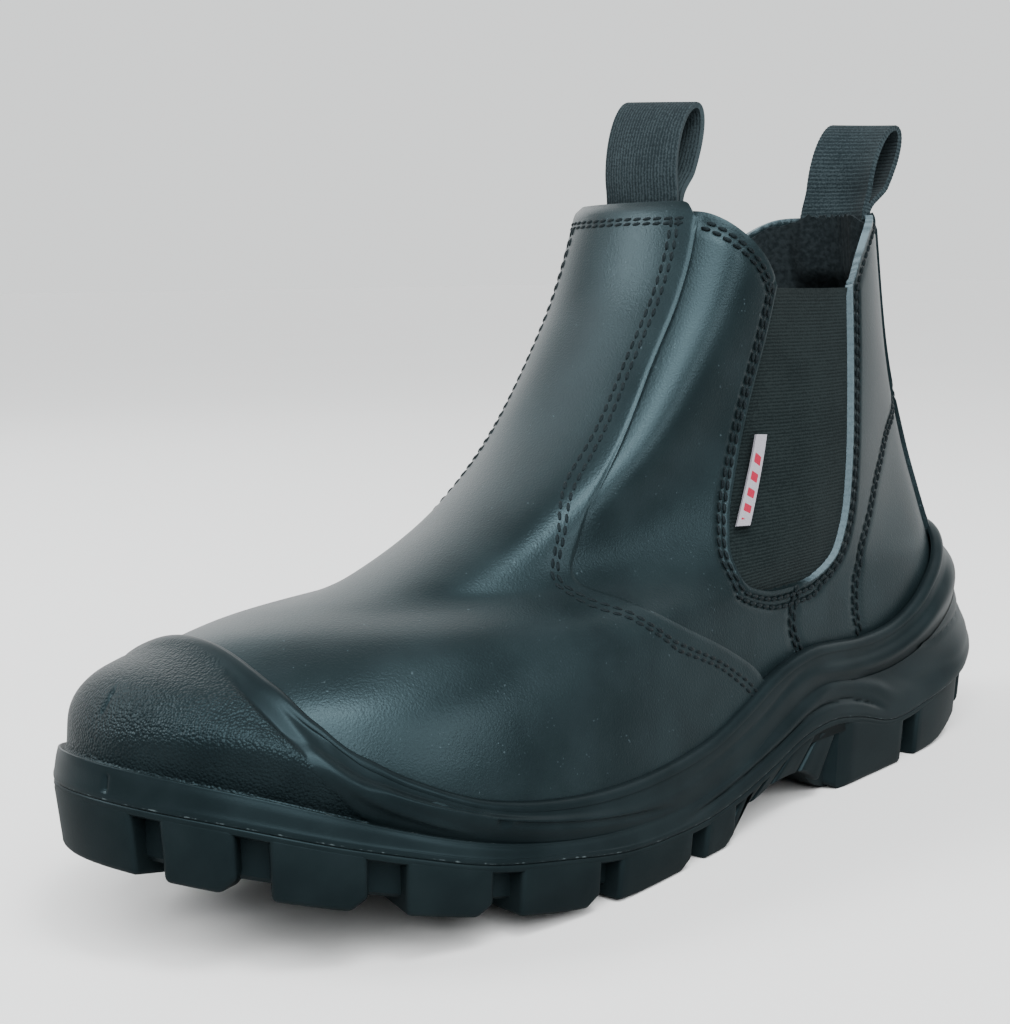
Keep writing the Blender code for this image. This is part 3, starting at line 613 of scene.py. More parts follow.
class NodeTree:
    """Node tree that is written as expressions."""

    def __init__(self, tree: bpy.types.NodeTree) -> None:
        """Take an empty tree."""
        self.tree = tree
        self.tree.nodes.clear()

    def node(self, kind: str, settings: dict | None = None, sockets: dict | None = None) -> bpy.types.Node:
        """Add a node.

        Args:
            kind: the node's type.
            settings: its properties, set first.
            sockets: values or links by socket name or number.

        Returns:
            The node.
        """
        made = self.tree.nodes.new(kind)
        for key, value in (settings or {}).items():
            setattr(made, key, value)
        for key, value in (sockets or {}).items():
            self.feed(made.inputs[key], value)
        return made

    def feed(self, target: bpy.types.NodeSocket, value: object) -> None:
        """Link a socket or set its value.

        Args:
            target: the input.
            value: a socket to link, or a value.
        """
        if isinstance(value, Socket):
            self.tree.links.new(value.output, target)
        elif isinstance(value, bpy.types.NodeSocket):
            self.tree.links.new(value, target)
        else:
            target.default_value = value

    def math(self, operation: str, a: Socket | float, b: Socket | float) -> Socket:
        """Arithmetic on two values."""
        made = self.node("ShaderNodeMath", {"operation": operation}, {0: a, 1: b})
        return Socket(self, made.outputs[0])

    def toward(self, vector: object, way: tuple[float, float, float]) -> Socket:
        """How far a vector points along a direction."""
        made = self.node("ShaderNodeVectorMath", {"operation": "DOT_PRODUCT"}, {0: vector, 1: way})
        return Socket(self, made.outputs["Value"])

    def ramp(self, value: Socket, low: float, high: float) -> Socket:
        """Soft step of a value from low to high."""
        made = self.node(
            "ShaderNodeMapRange",
            {"interpolation_type": "SMOOTHSTEP"},
            {"Value": value, "From Min": low, "From Max": high},
        )
        return Socket(self, made.outputs[0])


class ShaderTree(NodeTree):
    """Node tree of one material, with its Principled shader."""

    def __init__(self, name: str) -> None:
        """Start a material with a shader and an output."""
        self.material = bpy.data.materials.new(name)
        self.material.use_nodes = True
        super().__init__(self.material.node_tree)
        self.shader = self.node("ShaderNodeBsdfPrincipled")
        self.node("ShaderNodeOutputMaterial", sockets={"Surface": self.shader.outputs[0]})
        self.place = self.node("ShaderNodeTexCoord").outputs["Object"]

    def noise(self, scale: float, detail: float = 2.0,
              stretch: tuple[float, float, float] = (1, 1, 1)) -> Socket:
        """Noise over the piece, at a scale per metre.

        Args:
            scale: how fine it is.
            detail: how many finer layers it has.
            stretch: scale along each axis.

        Returns:
            The noise.
        """
        turned = self.node("ShaderNodeMapping", sockets={"Vector": self.place, "Scale": stretch})
        sockets = {"Vector": turned.outputs[0], "Scale": scale, "Detail": detail}
        return Socket(self, self.node("ShaderNodeTexNoise", sockets=sockets).outputs[0])

    def cells(self, scale: float, soft: float = 0.5) -> Socket:
        """Distance inside small rounded cells.

        Args:
            scale: how fine they are, per metre.
            soft: how far they melt together.

        Returns:
            The distance.
        """
        settings = {"feature": "SMOOTH_F1"}
        sockets = {"Vector": self.place, "Scale": scale, "Smoothness": soft}
        return Socket(self, self.node("ShaderNodeTexVoronoi", settings, sockets).outputs[0])

    def attribute(self, name: str) -> Socket:
        """Value stored on the mesh."""
        return Socket(self, self.node("ShaderNodeAttribute", {"attribute_name": name}).outputs["Fac"])

    def blend(self, mask: Socket, a: object, b: object) -> Socket:
        """Mix two colours by a mask."""
        made = self.node("ShaderNodeMix", {"data_type": "RGBA"}, {0: mask, 6: a, 7: b})
        return Socket(self, made.outputs[2])

    def bump(self, height: Socket, depth: float) -> None:
        """Bump of a height, its full depth in millimetres."""
        inputs = {"Height": height, "Distance": depth * MM, "Strength": 1.0}
        made = self.node("ShaderNodeBump", sockets=inputs)
        self.feed(self.shader.inputs["Normal"], made.outputs[0])

    def finish(self, colour: object, roughness: object, **constants: object) -> bpy.types.Material:
        """Set the shader's colour, roughness and constant values.

        Args:
            colour: base colour.
            roughness: roughness.
            constants: other inputs by name, with _ for a space.

        Returns:
            The material.
        """
        self.feed(self.shader.inputs["Base Color"], colour)
        self.feed(self.shader.inputs["Roughness"], roughness)
        for key, value in constants.items():
            self.shader.inputs[key.replace("_", " ")].default_value = value
        return self.material


Colour = tuple[float, float, float, float]
COOL_GLOSS: Colour = (0.54, 0.87, 1.0, 1.0)


@dataclass(frozen=True)
class Leather:
    """Black satin leather with a fine grain."""

    dark: Colour = (0.0050, 0.0090, 0.0102, 1.0)
    pale: Colour = (0.0086, 0.0146, 0.0164, 1.0)
    scuff: Colour = (0.12, 0.17, 0.195, 1.0)
    grain_scale: float = 1700.0
    grain_depth: float = 0.052
    gloss: float = 0.28
    roughness: float = 0.34

    def material(self, name: str) -> bpy.types.Material:
        """Build the material; edge values on the mesh show the worn rims.

        Args:
            name: the material's name.

        Returns:
            The material.
        """
        t = ShaderTree(name)
        grain = t.cells(self.grain_scale)
        fine = t.noise(2600.0, 2.0)
        cloud = t.noise(55.0, 3.0)
        worn = t.ramp(t.attribute("edge") + 0.5 * fine - 0.25, 0.45, 1.0)
        dust = t.ramp(t.noise(1500.0, 0.0), 0.79, 0.83) * t.ramp(t.noise(160.0, 1.0), 0.45, 0.65)
        colour = t.blend(t.ramp(cloud, 0.3, 0.75), self.dark, self.pale)
        colour = t.blend(worn * 0.8 + dust * 0.25, colour, self.scuff)
        t.bump(grain * 0.6 + fine * 0.9 + t.noise(420.0, 2.0) * 0.12, self.grain_depth)
        rough = self.roughness + 0.10 * cloud + 0.08 * fine - 0.06 + worn * 0.15
        gloss = {"Specular_Tint": COOL_GLOSS, "Specular_IOR_Level": self.gloss}
        return t.finish(colour, rough, Coat_Weight=0.03, Coat_Roughness=0.3, **gloss)


@dataclass(frozen=True)
class CutEdge:
    """Raw cut edge of the leather, paler than its face."""

    dark: Colour = (0.026, 0.042, 0.052, 1.0)
    pale: Colour = (0.100, 0.140, 0.166, 1.0)

    def material(self, name: str) -> bpy.types.Material:
        """Build the material.

        Args:
            name: the material's name.

        Returns:
            The material.
        """
        t = ShaderTree(name)
        fibre = t.noise(1400.0, 3.0)
        colour = t.blend(t.ramp(fibre, 0.35, 0.7), self.dark, self.pale)
        t.bump(fibre, 0.15)
        return t.finish(colour, 0.85, Specular_Tint=COOL_GLOSS)


@dataclass(frozen=True)
class Cloth:
    """Dark textile: lining, elastic, webbing, thread or footbed."""

    dark: Colour
    pale: Colour
    scale: float
    depth: float
    stretch: tuple[float, float, float] = (1.0, 1.0, 1.0)
    roughness: float = 0.85
    sheen: float = 0.03
    gloss: float = 0.12

    def material(self, name: str) -> bpy.types.Material:
        """Build the material.

        Args:
            name: the material's name.

        Returns:
            The material.
        """
        t = ShaderTree(name)
        yarn = t.noise(self.scale, 2.0, self.stretch)
        cloud = t.noise(90.0, 2.0)
        ribs = t.attribute("rib")
        # Painted highlight and shade: the stored rib value makes rib crests paler and the grooves between
        # them darker, in step with the relief.
        colour = t.blend(t.ramp(yarn + 0.3 * cloud + 0.32 * ribs, 0.45, 0.85), self.dark, self.pale)
        t.bump(yarn, self.depth)
        gloss = {"Specular_Tint": COOL_GLOSS, "Specular_IOR_Level": self.gloss}
        sheen = {"Sheen_Weight": self.sheen, "Sheen_Roughness": 0.5}
        return t.finish(colour, self.roughness + 0.1 * yarn - 0.05, **gloss, **sheen)


@dataclass(frozen=True)
class Moulded:
    """Moulded foam or rubber; the guard's face is pebbled where the mesh says so."""

    dark: Colour
    pale: Colour
    roughness: float
    gloss: float = 0.18
    pebble_scale: float = 1600.0

    def material(self, name: str) -> bpy.types.Material:
        """Build the material.

        Args:
            name: the material's name.

        Returns:
            The material.
        """
        t = ShaderTree(name)
        pebble = t.attribute("pebble")
        skin = t.noise(1800.0, 2.0)
        cloud = t.noise(70.0, 3.0)
        lumps = 1 - t.cells(self.pebble_scale, 0.12)
        # Pale specks of mould flash along the parting line, plus a painted highlight along the top edge of
        # the forefoot ledge, both mixed towards the paler colour below.
        flash_and_ledge_highlight = t.ramp(t.attribute("flash_and_ledge_highlight") * t.noise(700.0, 2.0), 0.52, 0.62)
        colour = t.blend(t.ramp(cloud, 0.3, 0.75), self.dark, self.pale)
        colour = t.blend(flash_and_ledge_highlight * 0.6, colour, (0.075, 0.095, 0.10, 1.0))
        t.bump(pebble * lumps + skin * 0.07, 0.20)
        rough = self.roughness + 0.1 * cloud + 0.06 * skin - 0.08 + pebble * 0.01
        return t.finish(colour, rough, Specular_Tint=COOL_GLOSS, Specular_IOR_Level=self.gloss)


@dataclass(frozen=True)
class TagCloth:
    """Woven tag with plain coloured bars and no lettering."""

    ground: Colour = (0.24, 0.235, 0.265, 1.0)
    bar: Colour = (0.26, 0.0, 0.022, 1.0)

    def material(self, name: str) -> bpy.types.Material:
        """Build the material from the mesh's bar values.

        Args:
            name: the material's name.

        Returns:
            The material.
        """
        t = ShaderTree(name)
        weave = t.noise(2400.0, 1.0)
        colour = t.blend(t.ramp(t.attribute("bar") + 0.3 * weave - 0.15, 0.4, 0.6), self.ground, self.bar)
        t.bump(weave, 0.08)
        return t.finish(colour, 0.8)


@dataclass
class Seam:
    """Row of stitches along a line on the last."""

    angle: Array
    level: Array
    lift: float

    def points(self, last: Last) -> Array:
        """Points of the row, on the face that it is sewn through."""
        return last.shell(self.angle, self.level, np.full(self.angle.shape, self.lift))


@dataclass
class Stitching:
    """All the threads that show, joined into one piece."""

    last: Last
    pitch: float = 3.1
    length: float = 2.6
    width: float = 1.0
    height: float = 0.85
    margin: float = 3.0
    pull_reach: float = 1.0
    pull_depth: float = 0.5
    sunk: float = 0.05
    slant: float = 0.12
    half_step: float = 0.4
    seams: list[Seam] = field(default_factory=list)

    def sew(self, angle: Array, level: Array, lift: float, asides: Sequence[float]) -> None:
        """Add rows beside a line.

        Args:
            angle: angles of the line.
            level: levels of the line.
            lift: height of the sewn face above the last.
            asides: distance of each row from the line.
        """
        for distance in asides:
            a, v = self.last.aside(angle, level, distance)
            self.seams.append(Seam(a, v, lift))

    def trough(self, points: Array) -> Array:
        """How far the threads pull the leather down at each point.

        Args:
            points: points on the leather.

        Returns:
            The pull at each point.
        """
        pull = np.zeros(len(points))
        for seam in self.seams:
            line = seam.points(self.last)
            low, high = line.min(0) - self.margin, line.max(0) + self.margin
            if (points.min(0) < high).all() and (points.max(0) > low).all():
                pull = np.maximum(pull, np.exp(-(nearest(points, line) / self.pull_reach) ** 2))
        return self.pull_depth * pull

    def build(self, material: bpy.types.Material) -> None:
        """Model one stitch and copy it along every row.

        Args:
            material: the thread.
        """
        bpy.ops.object.select_all(action="DESELECT")
        bpy.ops.mesh.primitive_uv_sphere_add(segments=6, ring_count=5, radius=0.5)
        model = bpy.context.active_object
        shape = np.array([v.co for v in model.data.vertices])[:, (2, 0, 1)]
        faces = [tuple(p.vertices) for p in model.data.polygons]
        bpy.data.objects.remove(model)
        verts, polys = [], []
        for seam in self.seams:
            line = seam.points(self.last)
            run = run_along(line)
            at = np.arange(self.pitch / 2, run[-1], self.pitch)
            angle, level = np.interp(at, run, seam.angle), np.interp(at, run, seam.level)
            middle = self.last.shell(angle, level, np.full(at.shape, seam.lift - self.sunk))
            ahead, back = (read_line(at + step, run, line) for step in (self.half_step, -self.half_step))
            up = self.last.normal(angle, level)
            forward = unit(ahead - back)
            across = np.cross(up, forward)
            for m, f, a, u in zip(middle, forward, across, up):
                base = len(verts) * len(shape)
                tilt = unit(f + self.slant * a)
                verts.append(m + shape @ np.stack([tilt * self.length, a * self.width, u * self.height]))
                polys += [tuple(base + i for i in face) for face in faces]
        mesh = bpy.data.meshes.new("stitching")
        mesh.from_pydata((np.concatenate(verts) * MM).tolist(), [], polys)
        obj = bpy.data.objects.new("stitching", mesh)
        bpy.context.scene.collection.objects.link(obj)
        edit_all(obj, lambda: bpy.ops.mesh.normals_make_consistent(inside=False))
        shade(obj, 60)
        dress(obj, [material], "upper")


@dataclass
class Upper:
    """Leather panels of the upper: quarters with the elastic's cut, vamp and strip over the back seam."""

    last: Last
    sole: SoleForm
    stitching: Stitching
    wall: float = 2.1
    lap: float = 2.0
    lap_wall: float = 3.6
    roll: float = 0.28
    strip_width: float = 66.0
    stretch: tuple[float, float] = (40.0, 140.0)
    hold: float = 0.07
    cut_reach: float = 0.7
    lap_reach: float = 0.6
    lap_worn: float = 0.55
    vamp_dip: tuple[float, float] = (1.1, 1.5)
    strip_dip: tuple[float, float] = (1.0, 1.4)

    def plan_seams(self) -> None:
        """Lay out every row of stitches."""
        vamp_level = np.linspace(0.10, 0.968, 220)
        back_level = np.linspace(0.44, 0.97, 120)
        for side in Side:
            s = side.value
            self.stitching.sew(vamp_edge(vamp_level, side) * s, vamp_level, self.lap, (s * 4.4, s * 6.1))
            cut = spread(GUSSET_CUT, 260)
            angle, level = self.last.locate(cut[:, 0], cut[:, 1], side)
            self.stitching.sew(angle, level, 0.0, (-s * 1.9, -s * 3.6))
            front = self.collar_line(side, True)
            rear = self.collar_line(side, False)
            shown = np.abs(front[0]) < vamp_edge(front[1], side) - 0.02
            self.stitching.sew(front[0][shown], front[1][shown], 0.0, (s * 2.6, s * 4.3))
            self.stitching.sew(rear[0][:66], rear[1][:66], 0.0, (-s * 2.6,))
            counter = spread(COUNTER_SEAM, 150)
            self.stitching.sew(counter[:, 0] * s, counter[:, 1], 0.0, (-1.0, 1.0))
            quarter = spread(QUARTER_SEAM, 40)
            self.stitching.sew(quarter[:, 0] * s, quarter[:, 1], 0.0, (-1.0, 1.0))
            self.stitching.sew(along(back_level, BACK_EDGE) * s, back_level, self.lap, (-s * 2.4, -s * 4.8))
        across = np.linspace(2.80, 2 * math.pi - 2.62, 80)
        self.stitching.sew(across, np.full(80, 0.971), self.lap, (-0.65, 0.65))
        across = np.linspace(-0.40, 0.40, 50)
        self.stitching.sew(across, np.full(50, 0.962), self.lap, (0.0,))

    def collar_line(self, side: Side, front: bool) -> tuple[Array, Array]:
        """Collar's edge from the elastic's corner to the vamp or to the back seam.

        Args:
            side: side of the shoe.
            front: whether to the vamp.

        Returns:
            Angles and levels of the line.
        """
        dip = np.array(DIP_FRONT if front else DIP_REAR)
        angle, level = self.last.locate(dip[:, 0], dip[:, 1], side)
        if front:
            steps = ((0.10, 0.008), (0.32, 0.012))
            ends = [(angle[-1] + turn * side.value, level[-1] + rise) for turn, rise in steps]
        else:
            ends = [(0.42 * side.value, 0.998), (0.15 * side.value, 1.0)]
        line = spread(np.concatenate([np.stack([angle, level], 1), ends]) * self.stretch, 90)
        return line[:, 0] / self.stretch[0], line[:, 1] / self.stretch[1]

    def outer_line(self, side: Side, share: Array) -> Array:
        """Hidden outer edge of a quarter, by the share of the way round the elastic.

        Args:
            side: side of the shoe.
            share: shares of the way, 0 to 1.

        Returns:
            Angles and levels.
        """
        s = side.value

        def lap(level: float) -> float:
            """Angle of the vamp's edge at a level."""
            return float(vamp_edge(np.array(level), side))

        table = np.array([
            (0.00, 2.86, 1.00), (0.10, lap(0.86) + 0.16, 0.86), (0.20, lap(0.72) + 0.16, 0.72),
            (0.28, lap(0.58) + 0.20, 0.58), (0.34, lap(0.44) + 0.25, 0.44), (0.40, lap(0.26) + 0.25, 0.24),
            (0.45, 1.78, 0.03), (0.50, 1.45, 0.02), (0.56, 1.10, 0.02), (0.62, 0.75, 0.02),
            (0.68, 0.35, 0.02), (0.73, 0.15, 0.06), (0.80, 0.15, 0.35), (0.88, 0.15, 0.62),
            (0.95, 0.15, 0.85), (1.00, 0.15, 1.00),
        ])
        line = smooth(share, table[:, 0], table[:, 1:])
        return np.stack([line[:, 0] * s, np.clip(line[:, 1], 0.0, 1.0)], 1)

    def build_quarters(self, side: Side, materials: Sequence[bpy.types.Material]) -> None:
        """Front and back quarter of one side, round the elastic's cut.

        Args:
            side: side of the shoe.
            materials: grain, lining and cut edge.
        """
        columns, rows = 230, 84
        cut = spread(GUSSET_CUT, 600)
        inner = np.stack(self.last.locate(cut[:, 0], cut[:, 1], side), 1)
        share = np.linspace(0, 1, 600)
        front = np.stack(self.collar_line(side, True), 1)
        rear = np.stack(self.collar_line(side, False), 1)
        part = np.linspace(0, 1, len(front))

        def place(u: Array, v: Array) -> Placed:
            """Lay the grid.

            Args:
                u: places across the grid, 0 to 1.
                v: places along the grid, 0 to 1.

            Returns:
                Points, outward directions and values to store.
            """
            t = v ** 1.5
            near, far = read_line(u, share, inner), self.outer_line(side, u)
            flat = near + (far - near) * t[:, None]
            starts, stops = np.exp(-u / self.hold), np.exp(-(1 - u) / self.hold)
            for line, weight, end in ((front, starts, 0.0), (rear, stops, 1.0)):
                a = read_line(np.full(1, end), share, inner)
                b = self.outer_line(side, np.full(1, end))
                flat = flat + weight[:, None] * (read_line(t, part, line) - (a + (b - a) * t[:, None]))
            angle, level = flat[:, 0], np.clip(flat[:, 1], 0.0, 1.0)
            base = self.last.point(angle, level)
            rim = self.last.point(*np.moveaxis(inner, 1, 0))
            dips = [self.last.point(line[:, 0], line[:, 1]) for line in (front, rear)]
            edge = nearest(base, np.concatenate([rim, *dips]))
            offset = -self.roll * np.exp(-(edge / self.cut_reach) ** 2) - self.stitching.trough(base)
            worn = 0.08 + 0.92 * ease(-base[:, 0], 26.0, 48.0) * ease(level, 0.1, 0.3)
            marks = {"edge": np.exp(-edge / 0.9) * worn}
            return self.last.shell(angle, level, offset), self.last.normal(angle, level), marks

        obj = lay_grid(f"quarters_{side.name.lower()}", rows, columns, place)
        self.thicken(obj, self.wall)
        dress(obj, materials, "upper", "upper")

    def thicken(self, obj: bpy.types.Object, thickness: float) -> None:
        """Give a panel its wall: grain outside, lining inside, raw cut at the rim."""
        apply_modifier(
            obj, "SOLIDIFY", thickness=thickness * MM, offset=-1.0, use_even_offset=False,
            material_offset=Face.LINING.value, material_offset_rim=Face.CUT.value,
        )
        shade(obj, 50)

    def above_lip(self, sweep: Callable[[Array, Array], Array], u: Array, v: Array) -> Array:
        """Level on a panel that starts just under the midsole's lip.

        Args:
            sweep: angle of the panel's columns from u and the level.
            u: place across the panel.
            v: place up the panel.

        Returns:
            The levels.
        """
        columns = np.unique(np.round(u, 9))
        levels = np.linspace(0.0, 0.62, 311)
        grid_u, grid_l = np.meshgrid(columns, levels)
        clear = grid_l > self.sole.lip_level(sweep(grid_u.ravel(), grid_l.ravel())).reshape(grid_l.shape)
        first = levels[np.argmax(clear, axis=0)]
        window = np.hanning(9)
        padded = np.pad(first, 4, mode="edge")
        low = np.convolve(padded, window / window.sum(), mode="valid")
        low = np.maximum(np.interp(u, columns, low) - 0.035, 0.0)
        return low + v * (1 - low)

    def lay_lapped(self, angle: Array, level: Array, rims: Array, top: Array,
                   dip: tuple[float, float]) -> Placed:
        """Surface of a lapped panel, rolled down at its rims and at the collar.

        Args:
            angle: angles of the panel's points.
            level: levels of the panel's points.
            rims: points of its side edges.
            top: points of its top edge.
            dip: depth and reach of the roll at the top edge.

        Returns:
            Points, outward directions and values to store.
        """
        base = self.last.point(angle, level)
        edge, height = nearest(base, rims), nearest(base, top)
        offset = self.lap - self.roll * np.exp(-(edge / self.lap_reach) ** 2)
        offset = offset - dip[0] * np.exp(-(height / dip[1]) ** 2)
        offset = offset - self.stitching.trough(base)
        marks = {"edge": self.lap_worn * np.exp(-np.minimum(edge, height) / 0.8)}
        return self.last.shell(angle, level, offset), self.last.normal(angle, level), marks

    def build_vamp(self, materials: Sequence[bpy.types.Material]) -> None:
        """Vamp with its front strip and wings, lapped over the quarters.

        Args:
            materials: grain, lining and cut edge.
        """

        def sweep(u: Array, level: Array) -> Array:
            """Angle of the vamp's columns.

            Args:
                u: places across the vamp.
                level: levels.

            Returns:
                The angles.
            """
            left = vamp_edge(level, Side.OUTER)
            right = 2 * math.pi - vamp_edge(level, Side.INNER)
            return left + u * (right - left)

        def place(u: Array, v: Array) -> Placed:
            """Lay the grid.

            Args:
                u: places across the grid, 0 to 1.
                v: places along the grid, 0 to 1.

            Returns:
                Points, outward directions and values to store.
            """
            u = 0.45 * u + 0.55 * (1 - np.cos(math.pi * u)) / 2
            level = self.above_lip(sweep, u, v)
            corner = np.exp(-(np.minimum(u, 1 - u) * self.strip_width / 3.4) ** 2)
            level = level - 0.024 * corner * ease(v, 0.93, 1.0)
            angle = sweep(u, level)
            line = np.linspace(0.0, 1.0, 400)
            rims = [self.last.point(side.value * vamp_edge(line, side), line) for side in Side]
            top = self.last.point(np.linspace(2.5, 2 * math.pi - 2.5, 200), np.ones(200))
            return self.lay_lapped(angle, level, np.concatenate(rims), top, self.vamp_dip)

        obj = lay_grid("vamp", 150, 150, place)
        self.thicken(obj, self.lap_wall)
        dress(obj, materials, "vamp_overlay", "vamp_overlay")

    def build_strip(self, materials: Sequence[bpy.types.Material]) -> None:
        """Strip over the back seam, from the midsole's lip to the collar.

        Args:
            materials: grain, lining and cut edge.
        """

        def sweep(u: Array, level: Array) -> Array:
            """Angle of the strip's columns."""
            return along(level, BACK_EDGE) * (2 * u - 1)

        def place(u: Array, v: Array) -> Placed:
            """Lay the grid.

            Args:
                u: places across the grid, 0 to 1.
                v: places along the grid, 0 to 1.

            Returns:
                Points, outward directions and values to store.
            """
            level = self.above_lip(sweep, u, v)
            angle = sweep(u, level)
            line = np.linspace(0.3, 1.0, 300)
            rims = [self.last.point(s * along(line, BACK_EDGE), line) for s in (1, -1)]
            top = self.last.point(np.linspace(-0.6, 0.6, 80), np.ones(80))
            return self.lay_lapped(angle, level, np.concatenate(rims), top, self.strip_dip)

        obj = lay_grid("back_strip", 120, 56, place)
        self.thicken(obj, self.lap_wall)
        dress(obj, materials, "heel_strip", "heel_strip")


@dataclass
class Elastic:
    """Ribbed elastic panels set into the quarters."""

    last: Last
    top: float = 136.4
    bottom: float = 56.6
    rib: float = 0.9
    rib_depth: float = 0.13
    under: float = 2.2
    lapped: float = 4.6
    outside: float = -1.95
    thick: float = 1.0
    fold_reach: float = 1.6
    fold_lift: float = 0.3
    bow: float = 0.5

    def build(self, side: Side, material: bpy.types.Material) -> None:
        """Panel of one side, its edges tucked into the leather.

        Args:
            side: side of the shoe.
            material: the elastic.
        """
        cut = spread(GUSSET_CUT, 400)
        lowest = int(np.argmin(cut[:, 1]))
        ribs = (self.top - self.bottom) / self.rib

        def place(u: Array, v: Array) -> Placed:
            """Lay the grid.

            Args:
                u: places across the grid, 0 to 1.
                v: places along the grid, 0 to 1.

            Returns:
                Points, outward directions and values to store.
            """
            z = self.bottom + (self.top - self.bottom) * v
            front = np.interp(z, cut[:lowest + 1, 1][::-1], cut[:lowest + 1, 0][::-1]) + self.lapped
            rear = np.interp(z, cut[lowest:, 1], cut[lowest:, 0]) - self.under
            x = rear + (front - rear) * u
            angle, level = self.last.locate(x, z, side)
            wave = 0.5 - 0.5 * np.cos(2 * math.pi * ribs * v)
            fold = np.exp(-((self.top - z) / self.fold_reach) ** 2)
            bow = self.bow * np.sin(math.pi * u) * ease(v, 0.0, 0.3)
            offset = self.outside - self.rib_depth * (1 - wave) * (1 - fold) + self.fold_lift * fold - bow
            # Painted highlight on the rib crests and painted shade in the grooves: the rib value follows the
            # ribs' relief.
            marks = {"rib": (wave - 0.5) * (1 - fold)}
            return self.last.shell(angle, level, offset), self.last.normal(angle, level), marks

        obj = lay_grid(f"elastic_{side.name.lower()}", 360, 30, place)
        apply_modifier(obj, "SOLIDIFY", thickness=self.thick * MM, offset=-1.0)
        shade(obj, 60)
        node = "gusset_lateral" if side is Side.OUTER else "gusset_medial"
        dress(obj, [material], node, node)


@dataclass(frozen=True)
class WallLine:
    """Line raised on the midsole's wall, or pressed into it."""

    table: tuple[tuple[float, float], ...]
    height: float
    width: float
    start: tuple[float, float] = (-400.0, -399.0)
    end: tuple[float, float] = (399.0, 400.0)

    def lift(self, x: Array, z: Array) -> Array:
        """How far the wall is moved out at a place."""
        gap = (z - along(x, np.array(self.table))) / self.width
        return self.height * np.exp(-gap ** 2) * ease(x, *self.start) * (1 - ease(x, *self.end))


